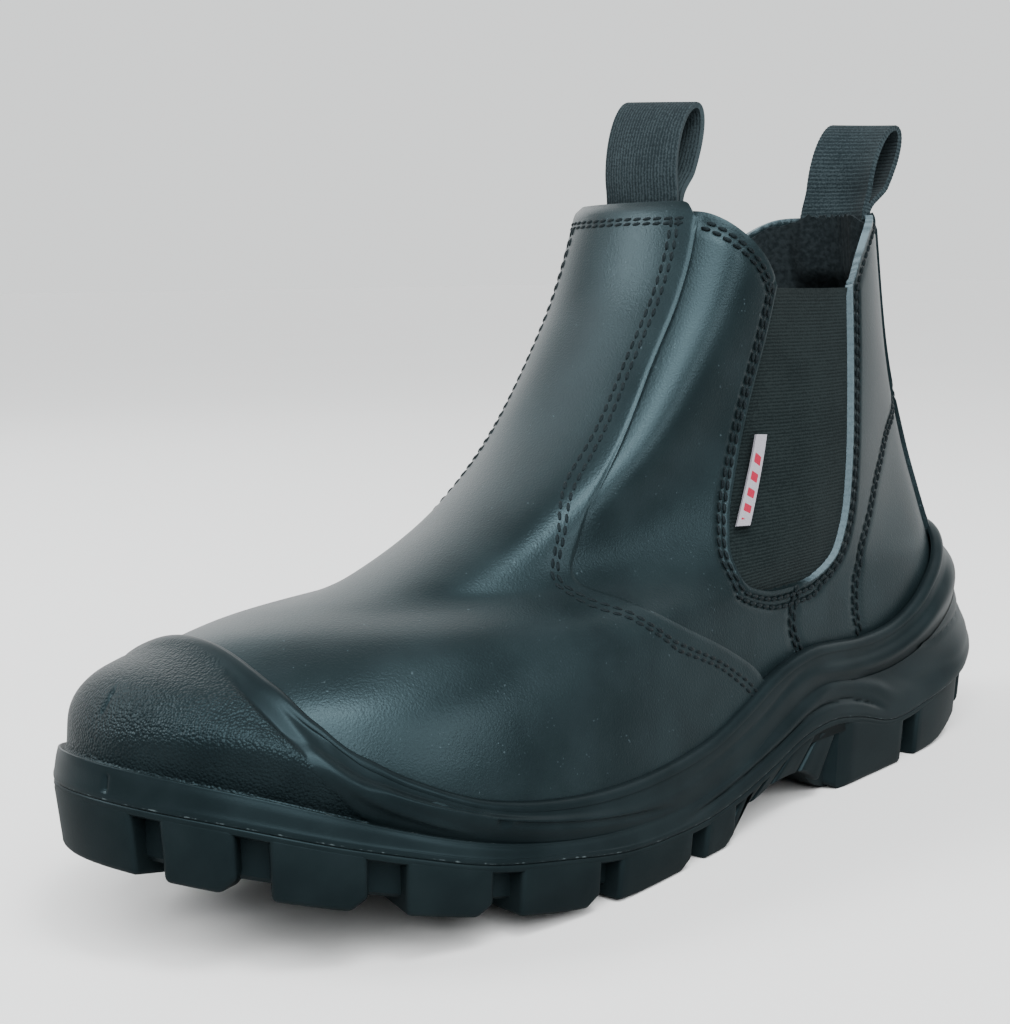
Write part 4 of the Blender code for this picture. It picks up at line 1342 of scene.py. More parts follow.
@dataclass
class Midsole:
    """Moulded midsole: stepped wall, rounded lip and the guard over the toe."""

    last: Last
    sole: SoleForm
    columns: int = 800
    tray_gap: float = 0.5
    sunk: float = 0.55
    crest: float = 0.55
    dome: float = 1.5
    dome_at: float = 54.0
    dome_reach: float = 9.0
    slit_width: float = 0.45
    slit_depth: float = 0.7
    slit_from: float = 130.0
    guard_x: tuple[float, float] = (92.0, 104.0)
    guard_key: tuple[float, float] = (8.6, 9.15)
    first_key: tuple[float, float] = (0.8, 1.8)
    last_key: tuple[float, float] = (13.5, 14.5)
    ledge_highlight_key: float = 7.7
    ledge_highlight_width: float = 0.7
    lip_keys: tuple[tuple[float, float], ...] = (
        (-1.6, 0.45), (-0.9, 0.5), (-0.2, 0.3), (0.4, -0.2), (0.75, -1.1), (0.8, -2.0), (0.6, -2.7),
    )
    slits: tuple[tuple[float, float, float], ...] = ((1.3, 38.6, 43.0), (-5.8, 52.0, 57.6))
    lines: tuple[WallLine, ...] = (
        WallLine(ARCH_CREST, 0.65, 1.7, (-86.0, -70.0), (8.0, 26.0)),
        WallLine(ARCH_VALLEY, -0.9, 0.7, (-75.0, -64.0), (12.0, 32.0)),
        WallLine(HEEL_CREASE, -0.6, 0.8, (-400.0, -399.0), (-104.0, -88.0)),
        WallLine(HEEL_VALLEY, -0.5, 1.8, (-400.0, -399.0), (-92.0, -74.0)),
        WallLine(HEEL_SWELL, 2.4, 6.5, (-400.0, -399.0), (-125.0, -92.0)),
        WallLine(FRONT_GROOVE, -0.6, 0.7, (30.0, 44.0), (84.0, 87.0)),
        WallLine(PIT, -0.9, 0.8, (87.4, 88.2), (89.8, 90.6)),
        WallLine(LIP_VALLEY, -0.35, 1.3, (-125.0, -85.0), (96.0, 114.0)),
    )

    def profile(self) -> tuple[Array, int, Array]:
        """Rings of the wall from the parting line up, over the lip and down into the tray.

        Returns:
            The rings' points, the number of rings on the outside, and the wall's places between its keys.
        """
        angle = -math.pi + 2 * math.pi * np.arange(self.columns + 1) / self.columns
        lip = self.sole.lip_level(angle)
        plan = self.sole.edge(angle, 0.0)
        inset = along(plan[:, 0], BAND_INSET)
        step = along(plan[:, 0], BAND_STEP)
        thick = self.sole.lip_thick + 0.2 * ease(-plan[:, 0], 92.0, 128.0)

        def ring(table: Array, inward: Array, rise: float) -> Array:
            """Ring of the wall that follows a side profile."""
            side = self.sole.edge(angle, inward)
            return np.column_stack([side, along(side[:, 0], table) + rise])

        foot = ((0.5, 0.0), (0.2, 0.05), (0.03, 0.35), (0.0, 1.2))
        keys = [ring(PARTING, inward, rise) for inward, rise in foot]
        for share in (0.35, 0.7):
            side = self.sole.edge(angle, inset * share ** 1.3)
            height = (1 - share) * along(side[:, 0], PARTING) + share * along(side[:, 0], BAND)
            keys.append(np.column_stack([side, height]))
        for share, rise in ((0.0, -0.5), (0.07, -0.12), (0.35, 0.05)):
            keys.append(ring(BAND, inset + share * step, rise))
        shelf = ring(BAND, inset + step, 0.2)
        keys.append(shelf)
        levels = np.linspace(0.0, 0.5, 251)
        heights = self.last.point(*np.meshgrid(angle, levels))[..., 2]
        start = np.array([np.interp(shelf[c, 2], heights[:, c], levels) for c in range(len(angle))])
        start = np.minimum(start, 0.6 * lip)
        root = np.linalg.norm(shelf - self.last.point(angle, start), axis=1)
        speed = np.linalg.norm(self.last.rates(angle, lip)[1], axis=-1)
        for share in (0.35, 0.65, 0.86):
            wall = thick + (root - thick) * (1 - share) ** (1.7 + 0.7 * ease(-plan[:, 0], 95.0, 130.0))
            keys.append(self.last.shell(angle, start + (lip - start) * share, wall))
        for up, out in self.lip_keys:
            keys.append(self.last.shell(angle, lip + up / speed, thick * (1 + out / self.sole.lip_thick)))
        counts = (1, 2, 2, 6, 6, 6, 2, 3, 3, 15, 15, 9, 4, 2, 2, 2, 2, 2, 1)
        spans = [np.linspace(i, i + 1, n, endpoint=False) for i, n in enumerate(counts)]
        places = np.concatenate(spans + [[len(counts)]])
        table = np.array(keys).reshape(len(keys), -1)
        rings = smooth(places, np.arange(len(keys)), table).reshape(len(places), -1, 3)
        outside = int(np.searchsorted(places, len(keys) - 4))
        gap = np.full(lip.shape, self.tray_gap)
        tray = [self.last.shell(angle, lip * share, gap) for share in (0.94, 0.7, 0.4, 0.1)]
        bottom = self.last.shell(angle, np.zeros(len(angle)), gap)
        bottom[:, 2] = along(bottom[:, 0], FEATHER) - 0.4
        return np.concatenate([rings, tray, [bottom]]), outside, places

    def relief(self, rings: Array, outside: int, places: Array) -> tuple[Array, Array]:
        """Press the wall's lines and the guard's face into the rings, and say where the guard is pebbled.

        Args:
            rings: points of the rings.
            outside: number of rings on the outside.
            places: the wall's places between its keys.

        Returns:
            The moved rings, and the pebbled share at each point.
        """
        wall = rings[:outside]
        x, z = wall[..., 0], wall[..., 2]
        looped = np.concatenate([wall[:, -2:-1], wall, wall[:, 1:2]], axis=1)
        across = looped[:, 2:] - looped[:, :-2]
        outward = unit(np.cross(across, np.gradient(wall, axis=0)))
        face = np.stack([x * 0.7, wall[..., 1] - along(x, SWING), 0 * x], -1)
        outward = outward * np.sign(np.sum(outward * face, -1, keepdims=True))
        place = places[:outside, None]
        above = ease(place, *self.guard_key)
        guard = ease(x, *self.guard_x)
        pebbled = ease(x - along(z, PEBBLE_EDGE), -0.35, 0.45) * above
        crest = np.exp(-((x - along(z, RIM_CREST)) / 1.7) ** 2) * above * guard
        lift = self.crest * crest - self.sunk * pebbled * guard
        lift = lift + self.dome * pebbled * np.exp(-((z - self.dome_at) / self.dome_reach) ** 2)
        for side, low, high in self.slits:
            cut = np.exp(-((wall[..., 1] - side) / self.slit_width) ** 2)
            cut = cut * ease(z, low, low + 1.0) * (1 - ease(z, high - 1.0, high))
            lift = lift - self.slit_depth * cut * (x > self.slit_from)
        lower = ease(place, *self.first_key) * (1 - ease(place, *self.last_key))
        for line in self.lines:
            lift = lift + line.lift(x, z) * lower
        moved = rings.copy()
        moved[:outside] = wall + outward * lift[..., None]
        moved[:, -1] = moved[:, 0]
        grain = np.zeros(rings.shape[:2])
        grain[:outside] = pebbled
        return moved, grain

    def build(self, material: bpy.types.Material) -> None:
        """Model the wall as a rolled grid and close it.

        Args:
            material: the foam.
        """
        rings, outside, places = self.profile()
        rings, pebbled = self.relief(rings, outside, places)
        rows = len(rings) - 1

        def place(u: Array, v: Array) -> Placed:
            """Lay the grid.

            Args:
                u: places across the grid, 0 to 1.
                v: places along the grid, 0 to 1.

            Returns:
                Points, outward directions and values to store.
            """
            c = np.rint(u * self.columns).astype(int)
            r = np.rint(v * rows).astype(int)
            points = rings[r, c]
            outer = r < outside
            # Painted highlight: a pale line along the top edge of the band's ledge at the forefoot, stored
            # with the parting line's flash specks.
            ledge_highlight = np.exp(-((places[np.minimum(r, outside)] - self.ledge_highlight_key) / self.ledge_highlight_width) ** 2)
            flash_and_ledge_highlight = np.exp(-((r - 3.0) / 1.6) ** 2) + ledge_highlight * ease(points[:, 0], 60.0, 90.0) * outer
            marks = {"pebble": pebbled[r, c], "flash_and_ledge_highlight": flash_and_ledge_highlight}
            return points, points * (0.6, 1.0, 0.0) * outer[:, None], marks

        obj = lay_grid("midsole_wall", rows, self.columns, place)
        close_up(obj, True)
        shade(obj, 40)
        dress(obj, [material], "midsole", "midsole")


@dataclass
class Outsole:
    """Rubber outsole: base plate, edge lugs, ribs of the arch and bars in the middle."""

    sole: SoleForm
    columns: int = 300
    recess: float = 5.0
    roof: float = 1.5
    tread: float = 3.2
    round_edge: float = 1.2
    corner: tuple[float, float] = (2.6, 3.6)
    draft: float = 1.3
    heel_shift: float = 3.0
    heel_sweep: float = 0.15
    slot_half: float = 0.8

    def ground(self, x: Array) -> Array:
        """Height of the walking face, raised at the arch.

        Args:
            x: places along the sole.

        Returns:
            The heights.
        """
        low = np.maximum(along(x, GROUND), 0.0)
        inside = (x > ARCH[0, 0]) & (x < ARCH[-1, 0])
        return np.where(inside, np.maximum(along(x, ARCH), 0.0), low)

    def floor(self, x: Array) -> Array:
        """Height of the plate's underside between the lugs."""
        arch = ease(x, -56.0, -50.0) * (1 - ease(x, 2.0, 8.0))
        return self.ground(x) + self.tread * (1 - arch)

    def build_plate(self) -> bpy.types.Object:
        """Plate with a thin rand at the parting line and a set-back wall below it.

        Returns:
            The plate.
        """
        angle = -math.pi + 2 * math.pi * np.arange(self.columns + 1) / self.columns

        def ring(inset: float, height: Callable[[Array], Array]) -> Array:
            """Ring round the plate."""
            side = self.sole.edge(angle, inset)
            return np.column_stack([side, height(side[:, 0])])

        def below(drop: float) -> Callable[[Array], Array]:
            """Height below the parting line."""
            return lambda x: along(x, PARTING) - drop

        def between(share: float) -> Callable[[Array], Array]:
            """Height by the share of the way down the set-back wall."""
            return lambda x: (1 - share) * (along(x, PARTING) - 3.0) + share * self.floor(x)

        rim = ((0.6, 0.0), (0.25, 0.08), (0.05, 0.35), (0.0, 0.9), (0.15, self.roof), (0.9, self.roof + 0.4))
        back = ((self.recess - 0.5, 2.2), (self.recess, 3.0))
        rings = [ring(inset, below(drop)) for inset, drop in rim + back]
        rings += [ring(self.recess, between(share)) for share in (0.5, 0.88)]
        rings.append(ring(self.recess + 0.9, self.floor))
        rows = len(rings) - 1
        stack = np.array(rings)

        def place(u: Array, v: Array) -> Placed:
            """Lay the grid.

            Args:
                u: places across the grid, 0 to 1.
                v: places along the grid, 0 to 1.

            Returns:
                Points, outward directions and values to store.
            """
            points = stack[np.rint(v * rows).astype(int), np.rint(u * self.columns).astype(int)]
            return points, points * (1.0, 1.0, 0.0), {}

        obj = lay_grid("outsole_tread", rows, self.columns, place)
        close_up(obj, True)
        return obj

    def cut_corner(self, obj: bpy.types.Object, size: tuple[float, float, float]) -> None:
        """Cut off the lower corner at the block's heel end.

        Args:
            obj: the block.
            size: length, depth and height.
        """
        back, up = self.corner
        select_only(obj)
        bpy.ops.object.mode_set(mode="EDIT")
        bpy.ops.mesh.select_all(action="SELECT")
        normal = (up, 0.0, -back)
        bpy.ops.mesh.bisect(plane_co=(size[0], 0.0, up), plane_no=normal, use_fill=True, clear_outer=True)
        bpy.ops.object.mode_set(mode="OBJECT")

    def block(self, size: tuple[float, float, float], cuts: int, rounding: float,
              chamfer: bool = False) -> bpy.types.Object:
        """Rounded block with its low corner at the origin, ready to be laid along the edge.

        Args:
            size: length, depth and height.
            cuts: how many lengths it is cut into.
            rounding: radius of its edges.
            chamfer: whether its lower corner at the other end is cut off.

        Returns:
            The block.
        """
        bpy.ops.object.select_all(action="DESELECT")
        bpy.ops.mesh.primitive_cube_add(size=1.0)
        obj = bpy.context.active_object
        co = np.array([v.co for v in obj.data.vertices]) + 0.5
        obj.data.vertices.foreach_set("co", (co * size).ravel())
        if chamfer:
            self.cut_corner(obj, size)
        apply_modifier(obj, "BEVEL", width=rounding, segments=3, limit_method="ANGLE", angle_limit=0.4)
        select_only(obj)
        bpy.ops.object.mode_set(mode="EDIT")
        for k in range(1, cuts):
            bpy.ops.mesh.select_all(action="SELECT")
            at = size[0] * k / cuts
            bpy.ops.mesh.bisect(plane_co=(at, 0, 0), plane_no=(1, 0, 0))
        bpy.ops.object.mode_set(mode="OBJECT")
        return obj

    def bend(self, obj: bpy.types.Object, shape: Callable[[Array], Array]) -> bpy.types.Object:
        """Move a block's points to their place on the sole.

        Args:
            obj: the block.
            shape: gives points in millimetres from the block's own.

        Returns:
            The block.
        """
        co = np.array([v.co for v in obj.data.vertices])
        obj.data.vertices.foreach_set("co", (shape(co) * MM).ravel())
        edit_all(obj, lambda: bpy.ops.mesh.normals_make_consistent(inside=False))
        return obj

    def lug(self, start: float, end: float, reach: float, slant: float = 0.0, top: float = 0.35,
            inset: float = 0.0, chamfer: bool = False, breast: float = 0.0) -> bpy.types.Object:
        """Edge lug between two angles.

        Args:
            start: outline angle of its first end.
            end: outline angle of its other end.
            reach: how far it runs inward.
            slant: shift of its foot along the edge, in radians.
            top: how far below the parting line it starts.
            inset: how far its outer face lies in from the outline.
            chamfer: whether its lower corner at the other end is cut off.
            breast: angle by which its first end sweeps on inward.

        Returns:
            The lug.
        """
        line = self.sole.edge(np.linspace(start, end, 60), 0.0)
        length = float(np.linalg.norm(np.diff(line, axis=0), axis=1).sum())
        size = (length, reach, 14.0)
        cuts = max(3, int(length / 3.0))

        def shape(co: Array) -> Array:
            """Place of the block's points.

            Args:
                co: points of the block.

            Returns:
                Points on the sole.
            """
            down = 1 - co[:, 2] / size[2]
            angle = start + (end - start) * co[:, 0] / length + slant * down
            near = 1 - ease(co[:, 0], 0.0, 14.0)
            angle = angle + breast * near * np.clip(co[:, 1] / 5.0, 0.0, 1.0)
            plan = self.sole.edge(angle, inset + co[:, 1] + self.draft * down ** 2)
            rim = self.sole.edge(angle, 0.0)
            high = along(rim[:, 0], PARTING) - top
            low = self.ground(plan[:, 0])
            return np.column_stack([plan, low + (high - low) * (1 - down)])

        return self.bend(self.block(size, cuts, self.round_edge, chamfer), shape)

    def edge_lugs(self, side: Side, cuts: Sequence[tuple[float, float, float]]) -> list[bpy.types.Object]:
        """Lugs between the cuts of one side, and the ribs of its arch.

        Args:
            side: side of the shoe.
            cuts: middle, width and reach of each cut, from the toe back.

        Returns:
            The lugs and ribs.
        """
        made = []
        for (x0, w0, d0), (x1, w1, d1) in zip(cuts, cuts[1:]):
            if x0 == ARCH_FRONT:
                continue
            heel = -55.0 < x0 < -45.0
            start = self.sole.angle_at(x0 - w0 / 2 - (self.heel_shift if heel else 0.0), side)
            end = self.sole.angle_at(x1 + w1 / 2, side)
            sweep = self.heel_sweep * side.value if heel else 0.0
            made.append(self.lug(start, end, min(d0, d1), chamfer=x1 > -40.0, breast=sweep))
        for back, front in zip(ARCH_SLOTS, ARCH_SLOTS[1:]):
            start = self.sole.angle_at(front - self.slot_half, side)
            end = self.sole.angle_at(back + self.slot_half, side)
            made.append(self.lug(start, end, 7.0, side.value * 0.06, 1.6, 0.9))
        return made

    def end_lug(self, outer: Sequence[float], inner: Sequence[float]) -> bpy.types.Object:
        """Lug round the toe or the heel, between the last cuts of both sides.

        Args:
            outer: cut on the outer side.
            inner: cut on the inner side.

        Returns:
            The lug.
        """
        front = outer[0] > 0
        shift = -1 if front else 1
        start = self.sole.angle_at(outer[0] - shift * outer[1] / 2, Side.OUTER)
        end = self.sole.angle_at(inner[0] - shift * inner[1] / 2, Side.INNER)
        return self.lug(start, end + 2 * math.pi if front else end, 14.0)

    def build(self, material: bpy.types.Material) -> None:
        """Join the plate, the lugs, the ribs and the bars.

        Args:
            material: the rubber.
        """
        parts = [self.build_plate()]
        parts += self.edge_lugs(Side.OUTER, OUTER_CUTS)
        parts += self.edge_lugs(Side.INNER, INNER_CUTS)
        parts += [self.end_lug(OUTER_CUTS[k], INNER_CUTS[k]) for k in (0, -1)]
        parts += [self.bar(*size) for size in TREAD_BARS]
        bpy.ops.object.select_all(action="DESELECT")
        for part in parts:
            part.select_set(True)
        bpy.context.view_layer.objects.active = parts[0]
        bpy.ops.object.join()
        obj = parts[0]
        shade(obj, 35)
        dress(obj, [material], "outsole", "outsole")

    def bar(self, x0: float, x1: float, reach: float) -> bpy.types.Object:
        """Bar across the middle of the tread.

        Args:
            x0: its rear end.
            x1: its front end.
            reach: half its width.

        Returns:
            The bar.
        """
        size = (x1 - x0, 2 * reach, self.tread + 1.0)

        def shape(co: Array) -> Array:
            """Place of the block's points.

            Args:
                co: points of the block.

            Returns:
                Points on the sole.
            """
            x = x0 + co[:, 0]
            y = along(x, SWING) - reach + co[:, 1]
            return np.column_stack([x, y, self.ground(x) + co[:, 2]])

        return self.bend(self.block(size, 4, self.round_edge), shape)


@dataclass
class PullLoop:
    """Webbing loop at the collar with its tab sewn inside."""

    last: Last
    node: str
    root_x: float
    root_z: float
    lean: float
    height: float
    bulge: float
    front: bool
    tab: float = 12.0
    half_width: float = 12.0
    thick: float = 1.45
    under: float = 2.9
    rib: float = 1.15
    long_rib: float = 1.0
    tip: float = 0.07
    straight: float = 5.0
    aside: float = 0.0

    def wall_x(self, z: Array) -> Array:
        """Outside of the upper on the loop's middle line, at a height."""
        p = self.last.point(np.full(200, math.pi if self.front else 0.0), np.linspace(0.6, 1.0, 200))
        return np.interp(z, p[:, 2], p[:, 0])

    def path(self) -> Array:
        """Side-view middle line, from one end of the tab round to the other.

        Returns:
            Its points, x and z.
        """
        turn = np.linspace(0.62, 2 * math.pi - 0.62, 160)
        rise = (1 - np.cos(turn)) / 2
        x = self.root_x + self.lean * rise ** 1.2 + self.bulge * np.sin(turn) * np.sin(turn / 2) ** 0.8
        z = self.root_z + self.height * rise
        inward = -1.0 if self.front else 1.0
        outer, inner = inward * self.under, inward * (self.under + 1.1 * self.thick)
        first, second = (outer, inner) if self.front else (inner, outer)
        tucked = self.wall_x(np.minimum(z, self.root_z)) + np.where(turn < math.pi, first, second)
        x = x + (1 - ease(z, self.root_z + 0.5, self.root_z + 10.0)) * (tucked - x)
        foot = self.root_z - self.tab + np.array([0.0, 4.0, 8.0])
        down = np.stack([self.wall_x(foot) + first, foot], 1)
        back = np.stack([self.wall_x(foot) + second, foot], 1)
        return spread(np.concatenate([down, np.stack([x, z], 1), back[::-1]]), 400)

    def collar_bend(self, y: Array) -> Array:
        """How far the collar falls back across its width.

        Args:
            y: places across the loop.

        Returns:
            How far, along x.
        """
        angles = np.linspace(2.3, math.pi, 200) if self.front else np.linspace(0.0, 0.95, 200)
        p = self.last.shell(angles, np.full(200, 0.95), np.full(200, -2.4))
        away = np.abs(p[:, 1] - along(p[:, 0], SWING))
        order = np.argsort(away)
        middle = p[-1, 0] if self.front else p[0, 0]
        return np.interp(np.abs(y), away[order], p[order, 0]) - middle

    def build(self, material: bpy.types.Material) -> None:
        """Model the ribbed band.

        Args:
            material: the webbing.
        """
        path = self.path()
        run = run_along(path)
        tangent = unit(np.gradient(path, axis=0))
        normal = np.stack([-tangent[:, 1], tangent[:, 0]], 1)
        rows = int(run[-1] / self.rib * 4)

        def place(u: Array, v: Array) -> Placed:
            """Lay the grid.

            Args:
                u: places across the grid, 0 to 1.
                v: places along the grid, 0 to 1.

            Returns:
                Points, outward directions and values to store.
            """
            at = v * run[-1]
            mid, out = read_line(at, run, path), read_line(at, run, normal)
            lengthwise = np.cos(2 * math.pi * u * 2 * self.half_width / self.long_rib) if self.front else 0.0
            crosswise = np.cos(2 * math.pi * at / self.rib)
            wave = (0.01 if self.front else 0.07) * crosswise + 0.05 * lengthwise
            mid = mid + out * wave[:, None]
            # Painted highlight and shade: the rib value is high on the crests of the webbing's ribs and low
            # between them.
            ribs = 0.6 * lengthwise + (0.08 if self.front else 0.5) * crosswise
            y = (2 * u - 1) * self.half_width
            above = mid[:, 1] - self.root_z - self.straight
            share = np.clip(above / (self.height - self.straight), 0.0, 1.0)
            x = mid[:, 0] + self.collar_bend(y) * (1 - 0.75 * share)
            sideways = y + self.aside + along(mid[:, 0], SWING)
            points = np.column_stack([x, sideways, mid[:, 1] - self.tip * y * share])
            return points, np.column_stack([out[:, 0], 0 * y, out[:, 1]]), {"rib": ribs}

        obj = lay_grid(self.node.replace("pull_loop", "webbing"), rows, 96 if self.front else 20, place)
        apply_modifier(obj, "SOLIDIFY", thickness=self.thick * MM, offset=0.0)
        shade(obj, 60)
        dress(obj, [material], self.node, self.node)


@dataclass
class CollarLining:
    """Textile sewn over a webbing tab inside the collar."""

    last: Last
    reach: float = 1.18
    base: float = 2.1
    cover: float = 3.9
    tab_half: float = 12.6
    tab_foot: float = 142.5
    top: float = 0.988

    def build(self, front: bool, material: bpy.types.Material) -> None:
        """Model the cover, raised over the tab and softly pleated.

        Args:
            front: whether at the collar's front.
            material: the lining.
        """
        middle = math.pi if front else 0.0
        reach = 0.40 if front else self.reach
        dip = np.array(DIP_REAR[::-1])
        turn, height = self.last.locate(dip[:, 0], dip[:, 1], Side.OUTER)

        def rim(angle: Array) -> Array:
            """Level of the cover's top edge.

            Args:
                angle: angles round the collar.

            Returns:
                The levels.
            """
            if front:
                return np.full(angle.shape, self.top)
            return np.interp(np.abs(angle), turn, np.minimum(height - 0.004, self.top))

        def place(u: Array, v: Array) -> Placed:
            """Lay the grid.

            Args:
                u: places across the grid, 0 to 1.
                v: places along the grid, 0 to 1.

            Returns:
                Points, outward directions and values to store.
            """
            angle = middle + (2 * u - 1) * reach
            level = 0.78 + (rim(angle) - 0.78) * v
            p = self.last.point(angle, level)
            away = np.abs(p[:, 1] - along(p[:, 0], SWING))
            raised = 1 - ease(away, self.tab_half, self.tab_half + 4.0)
            raised = raised * ease(p[:, 2], self.tab_foot - 8, self.tab_foot)
            pleats = 0.35 * np.sin(away * 1.1 + 0.6) * np.sin(math.pi * v) + 0.2 * np.sin(away * 2.3)
            offset = -self.base - self.cover * raised - pleats * (1 - 0.5 * raised)
            inward = -self.last.normal(angle, level)
            points = self.last.shell(angle, level, np.minimum(offset, -1.95))
            fuzz = 0.45 * np.sin(37.0 * angle) + 0.3 * np.sin(91.0 * angle + 1.0)
            edge = (1.0 + 2.6 * raised + fuzz) * (1 - ease(np.abs(angle), 0.45, 0.85))
            points[:, 2] += (0.4 if front else edge) * ease(v, 0.8, 1.0)
            return points, inward, {}

        obj = lay_grid("front_lining" if front else "rear_lining", 60, 70, place)
        apply_modifier(obj, "SOLIDIFY", thickness=0.8 * MM, offset=1.0)
        shade(obj, 60)
        dress(obj, [material], "upper")


@dataclass
class Footbed:
    """Padded insole inside the upper."""

    last: Last
    thick: float = 4.0
    gap: float = 2.9
    board: float = 3.4

    def build(self, material: bpy.types.Material) -> None:
        """Model the sheet, then give it its thickness and a soft edge.

        Args:
            material: the footbed's cloth.
        """

        def place(u: Array, v: Array) -> Placed:
            """Lay the grid.

            Args:
                u: places across the grid, 0 to 1.
                v: places along the grid, 0 to 1.

            Returns:
                Points, outward directions and values to store.
            """
            angle = -math.pi + 2 * math.pi * u
            rim = self.last.shell(angle, np.full(u.shape, 0.04), np.full(u.shape, -self.gap))
            y = along(rim[:, 0], SWING) + (rim[:, 1] - along(rim[:, 0], SWING)) * v
            z = along(rim[:, 0], FEATHER) + self.thick + 2.0 * ease(v, 0.6, 1.0) - 1.6 * ease(v, 0.94, 1.0)
            return np.column_stack([rim[:, 0], y, z]), np.column_stack([0 * y, 0 * y, 0 * y + 1]), {}

        obj = lay_grid("footbed", 20, 120, place)
        close_up(obj, False)
        apply_modifier(obj, "SOLIDIFY", thickness=self.board * MM, offset=-1.0)
        shade(obj, 40)
        dress(obj, [material], "insole", "insole")


@dataclass
class Tag:
    """Small woven tag in the front seam of the outer elastic."""

    last: Last
    levels: tuple[float, float] = (0.585, 0.73)
    low: tuple[float, float] = (1.806, 1.856)
    high: tuple[float, float] = (1.888, 1.942)
    thick: float = 0.7

    def build(self, material: bpy.types.Material) -> None:
        """Model the tag with its plain bars.

        Args:
            material: the woven tag.
        """

        def place(u: Array, v: Array) -> Placed:
            """Lay the grid.

            Args:
                u: places across the grid, 0 to 1.
                v: places along the grid, 0 to 1.

            Returns:
                Points, outward directions and values to store.
            """
            level = self.levels[0] + (self.levels[1] - self.levels[0]) * v
            first = self.low[0] + (self.high[0] - self.low[0]) * v
            last = self.low[1] + (self.high[1] - self.low[1]) * v
            angle = first + (last - first) * u
            slant = np.cos(2 * math.pi * (5.5 * v - 0.45 * u))
            bars = ease(slant, -0.25, 0.15) * ease(u, 0.14, 0.26) * ease(1 - u, 0.14, 0.26)
            bars = bars * ease(v, 0.07, 0.09) * ease(1 - v, 0.12, 0.14)
            lift = np.full(u.shape, 0.1) + 0.15 * np.sin(math.pi * v)
            return self.last.shell(angle, level, lift), self.last.normal(angle, level), {"bar": bars}

        obj = lay_grid("woven_tag", 90, 16, place)
        apply_modifier(obj, "SOLIDIFY", thickness=self.thick * MM, offset=-1.0)
        shade(obj, 50)
        dress(obj, [material], "side_tag", "side_tag")


